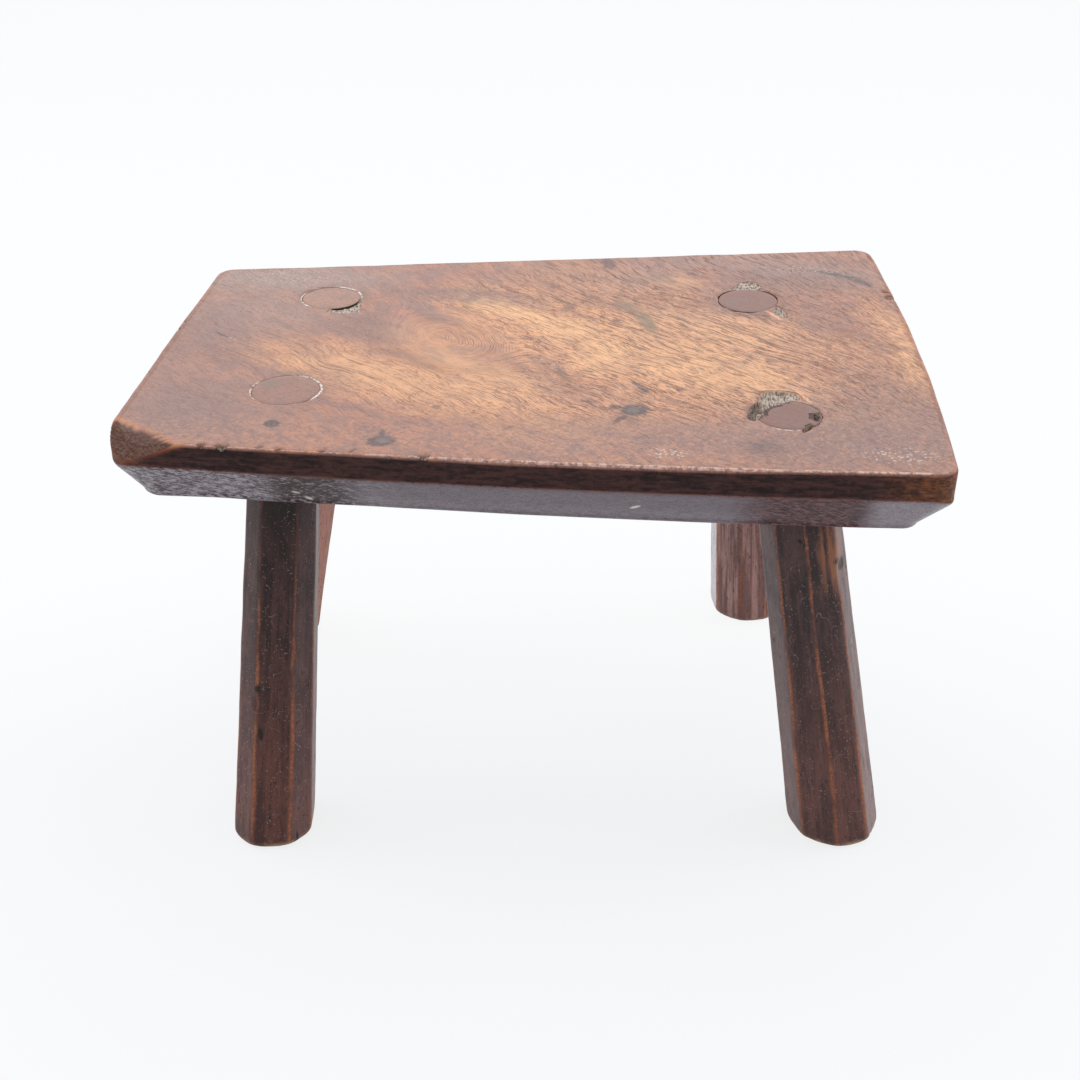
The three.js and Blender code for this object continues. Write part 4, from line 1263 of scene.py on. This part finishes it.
# Camera, solved from the photo: place in metres, angles in degrees, focal length in its pixels
CAMERA_PLACE = (0.0204, -0.7623, 0.5525)
TURN, PITCH, ROLL = 1.40, 30.20, -0.26
FOCAL_LENGTH = 1601
PHOTO_WIDTH = 1080
SENSOR_WIDTH = 36


def add_posed(name, data, right, up, away, place):
    """An object that looks along minus away, with the given directions to its right and upwards."""
    thing = bpy.data.objects.new(name, data)
    pose = Matrix.Identity(4)
    for column, values in enumerate((right, up, away, place)):
        for row in range(3):
            pose[row][column] = values[row]
    thing.matrix_world = pose
    bpy.context.collection.objects.link(thing)
    return thing


def camera():
    lens = bpy.data.cameras.new("camera")
    lens.sensor_width = SENSOR_WIDTH
    lens.lens = SENSOR_WIDTH * FOCAL_LENGTH / PHOTO_WIDTH
    lens.clip_start, lens.clip_end = 0.01, 50
    turn, pitch, roll = np.radians([TURN, PITCH, ROLL])
    level_right = np.array([math.cos(turn), math.sin(turn), 0.0])
    level_forward = np.array([-math.sin(turn), math.cos(turn), 0.0])
    forward = level_forward * math.cos(pitch) - np.array([0.0, 0.0, math.sin(pitch)])
    level_up = np.cross(level_right, forward)
    right = level_right * math.cos(roll) + level_up * math.sin(roll)
    up = level_up * math.cos(roll) - level_right * math.sin(roll)
    bpy.context.scene.camera = add_posed("camera", lens, right, up, -forward, CAMERA_PLACE)


def lamp(name, place, size, power):
    light = bpy.data.lights.new(name, "AREA")
    light.shape = "RECTANGLE"
    light.size, light.size_y = size
    light.energy = power
    away = unit(np.array(place) - LAMP_TARGET)
    right = unit(np.cross([0.0, 1.0, 0.01], away))
    add_posed(name, light, right, np.cross(away, right), away, place)


def background_rays(tree):
    """1 for rays that look straight, by reflection or through glass, at what lies behind."""
    path = tree.nodes.new("ShaderNodeLightPath")
    seen = path.outputs["Is Camera Ray"]
    for kind in ("Is Glossy Ray", "Is Transmission Ray"):
        either = tree.nodes.new("ShaderNodeMath")
        either.operation = "MAXIMUM"
        tree.links.new(seen, either.inputs[0])
        tree.links.new(path.outputs[kind], either.inputs[1])
        seen = either.outputs[0]
    return seen


def studio():
    mesh = bpy.data.meshes.new("floor")
    mesh.from_pydata([(-6, -6, 0), (6, -6, 0), (6, 6, 0), (-6, 6, 0)], [], [(0, 1, 2, 3)])
    floor = bpy.data.objects.new("floor", mesh)
    bpy.context.collection.objects.link(floor)
    m = Recipe("floor")
    m.shader.inputs["Base Color"].default_value = (0.80, 0.84, 0.96, 1)
    m.shader.inputs["Roughness"].default_value = 0.9
    m.shader.inputs["Specular IOR Level"].default_value = 0.0
    white = m.tree.nodes.new("ShaderNodeEmission")
    white.inputs["Color"].default_value = (0.995, 1.0, 1.0, 1)
    blend = m.tree.nodes.new("ShaderNodeMixShader")
    _, y, _ = m.split(m.place())
    away = m.ramp(m.vector("LENGTH", m.place()), 230.0, 700.0) * 0.6
    away = FLOOR_WHITE + away.math("MAXIMUM", m.ramp(y, -110.0, 150.0) * 0.6) * (1 - FLOOR_WHITE)
    share = Wire(m.tree, background_rays(m.tree)) * away
    plug(m.tree, share, blend.inputs[0])
    m.tree.links.new(m.shader.outputs[0], blend.inputs[1])
    m.tree.links.new(white.outputs[0], blend.inputs[2])
    m.tree.links.new(blend.outputs[0], m.tree.nodes["Material Output"].inputs["Surface"])
    mesh.materials.append(m.material)

    world = bpy.data.worlds.new("studio")
    bpy.context.scene.world = world
    world.use_nodes = True
    tree = world.node_tree
    ground = tree.nodes["Background"]
    ground.inputs["Color"].default_value = (1, 1, 1, 1)
    strength = tree.nodes.new("ShaderNodeMapRange")
    tree.links.new(background_rays(tree), strength.inputs["Value"])
    strength.inputs["To Min"].default_value = WORLD_LIGHT
    strength.inputs["To Max"].default_value = 1.0
    tree.links.new(strength.outputs["Result"], ground.inputs["Strength"])
    for row in LAMPS:
        lamp(*row)


seat, legs = build()
leg_wood = leg_material()
seat.data.materials.clear()
for name, gloss in (("seat_top", 0.5), ("seat_sides", 0.15)):
    seat.data.materials.append(seat_material(name, gloss))
finish_by_zone(seat)
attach(seat, "root")
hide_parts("seat")
for name, leg in legs.items():
    leg.data.materials.clear()
    leg.data.materials.append(leg_wood)
    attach(leg, "root")
    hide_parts(name)
studio()
camera()
bpy.context.scene.view_settings.view_transform = "Standard"
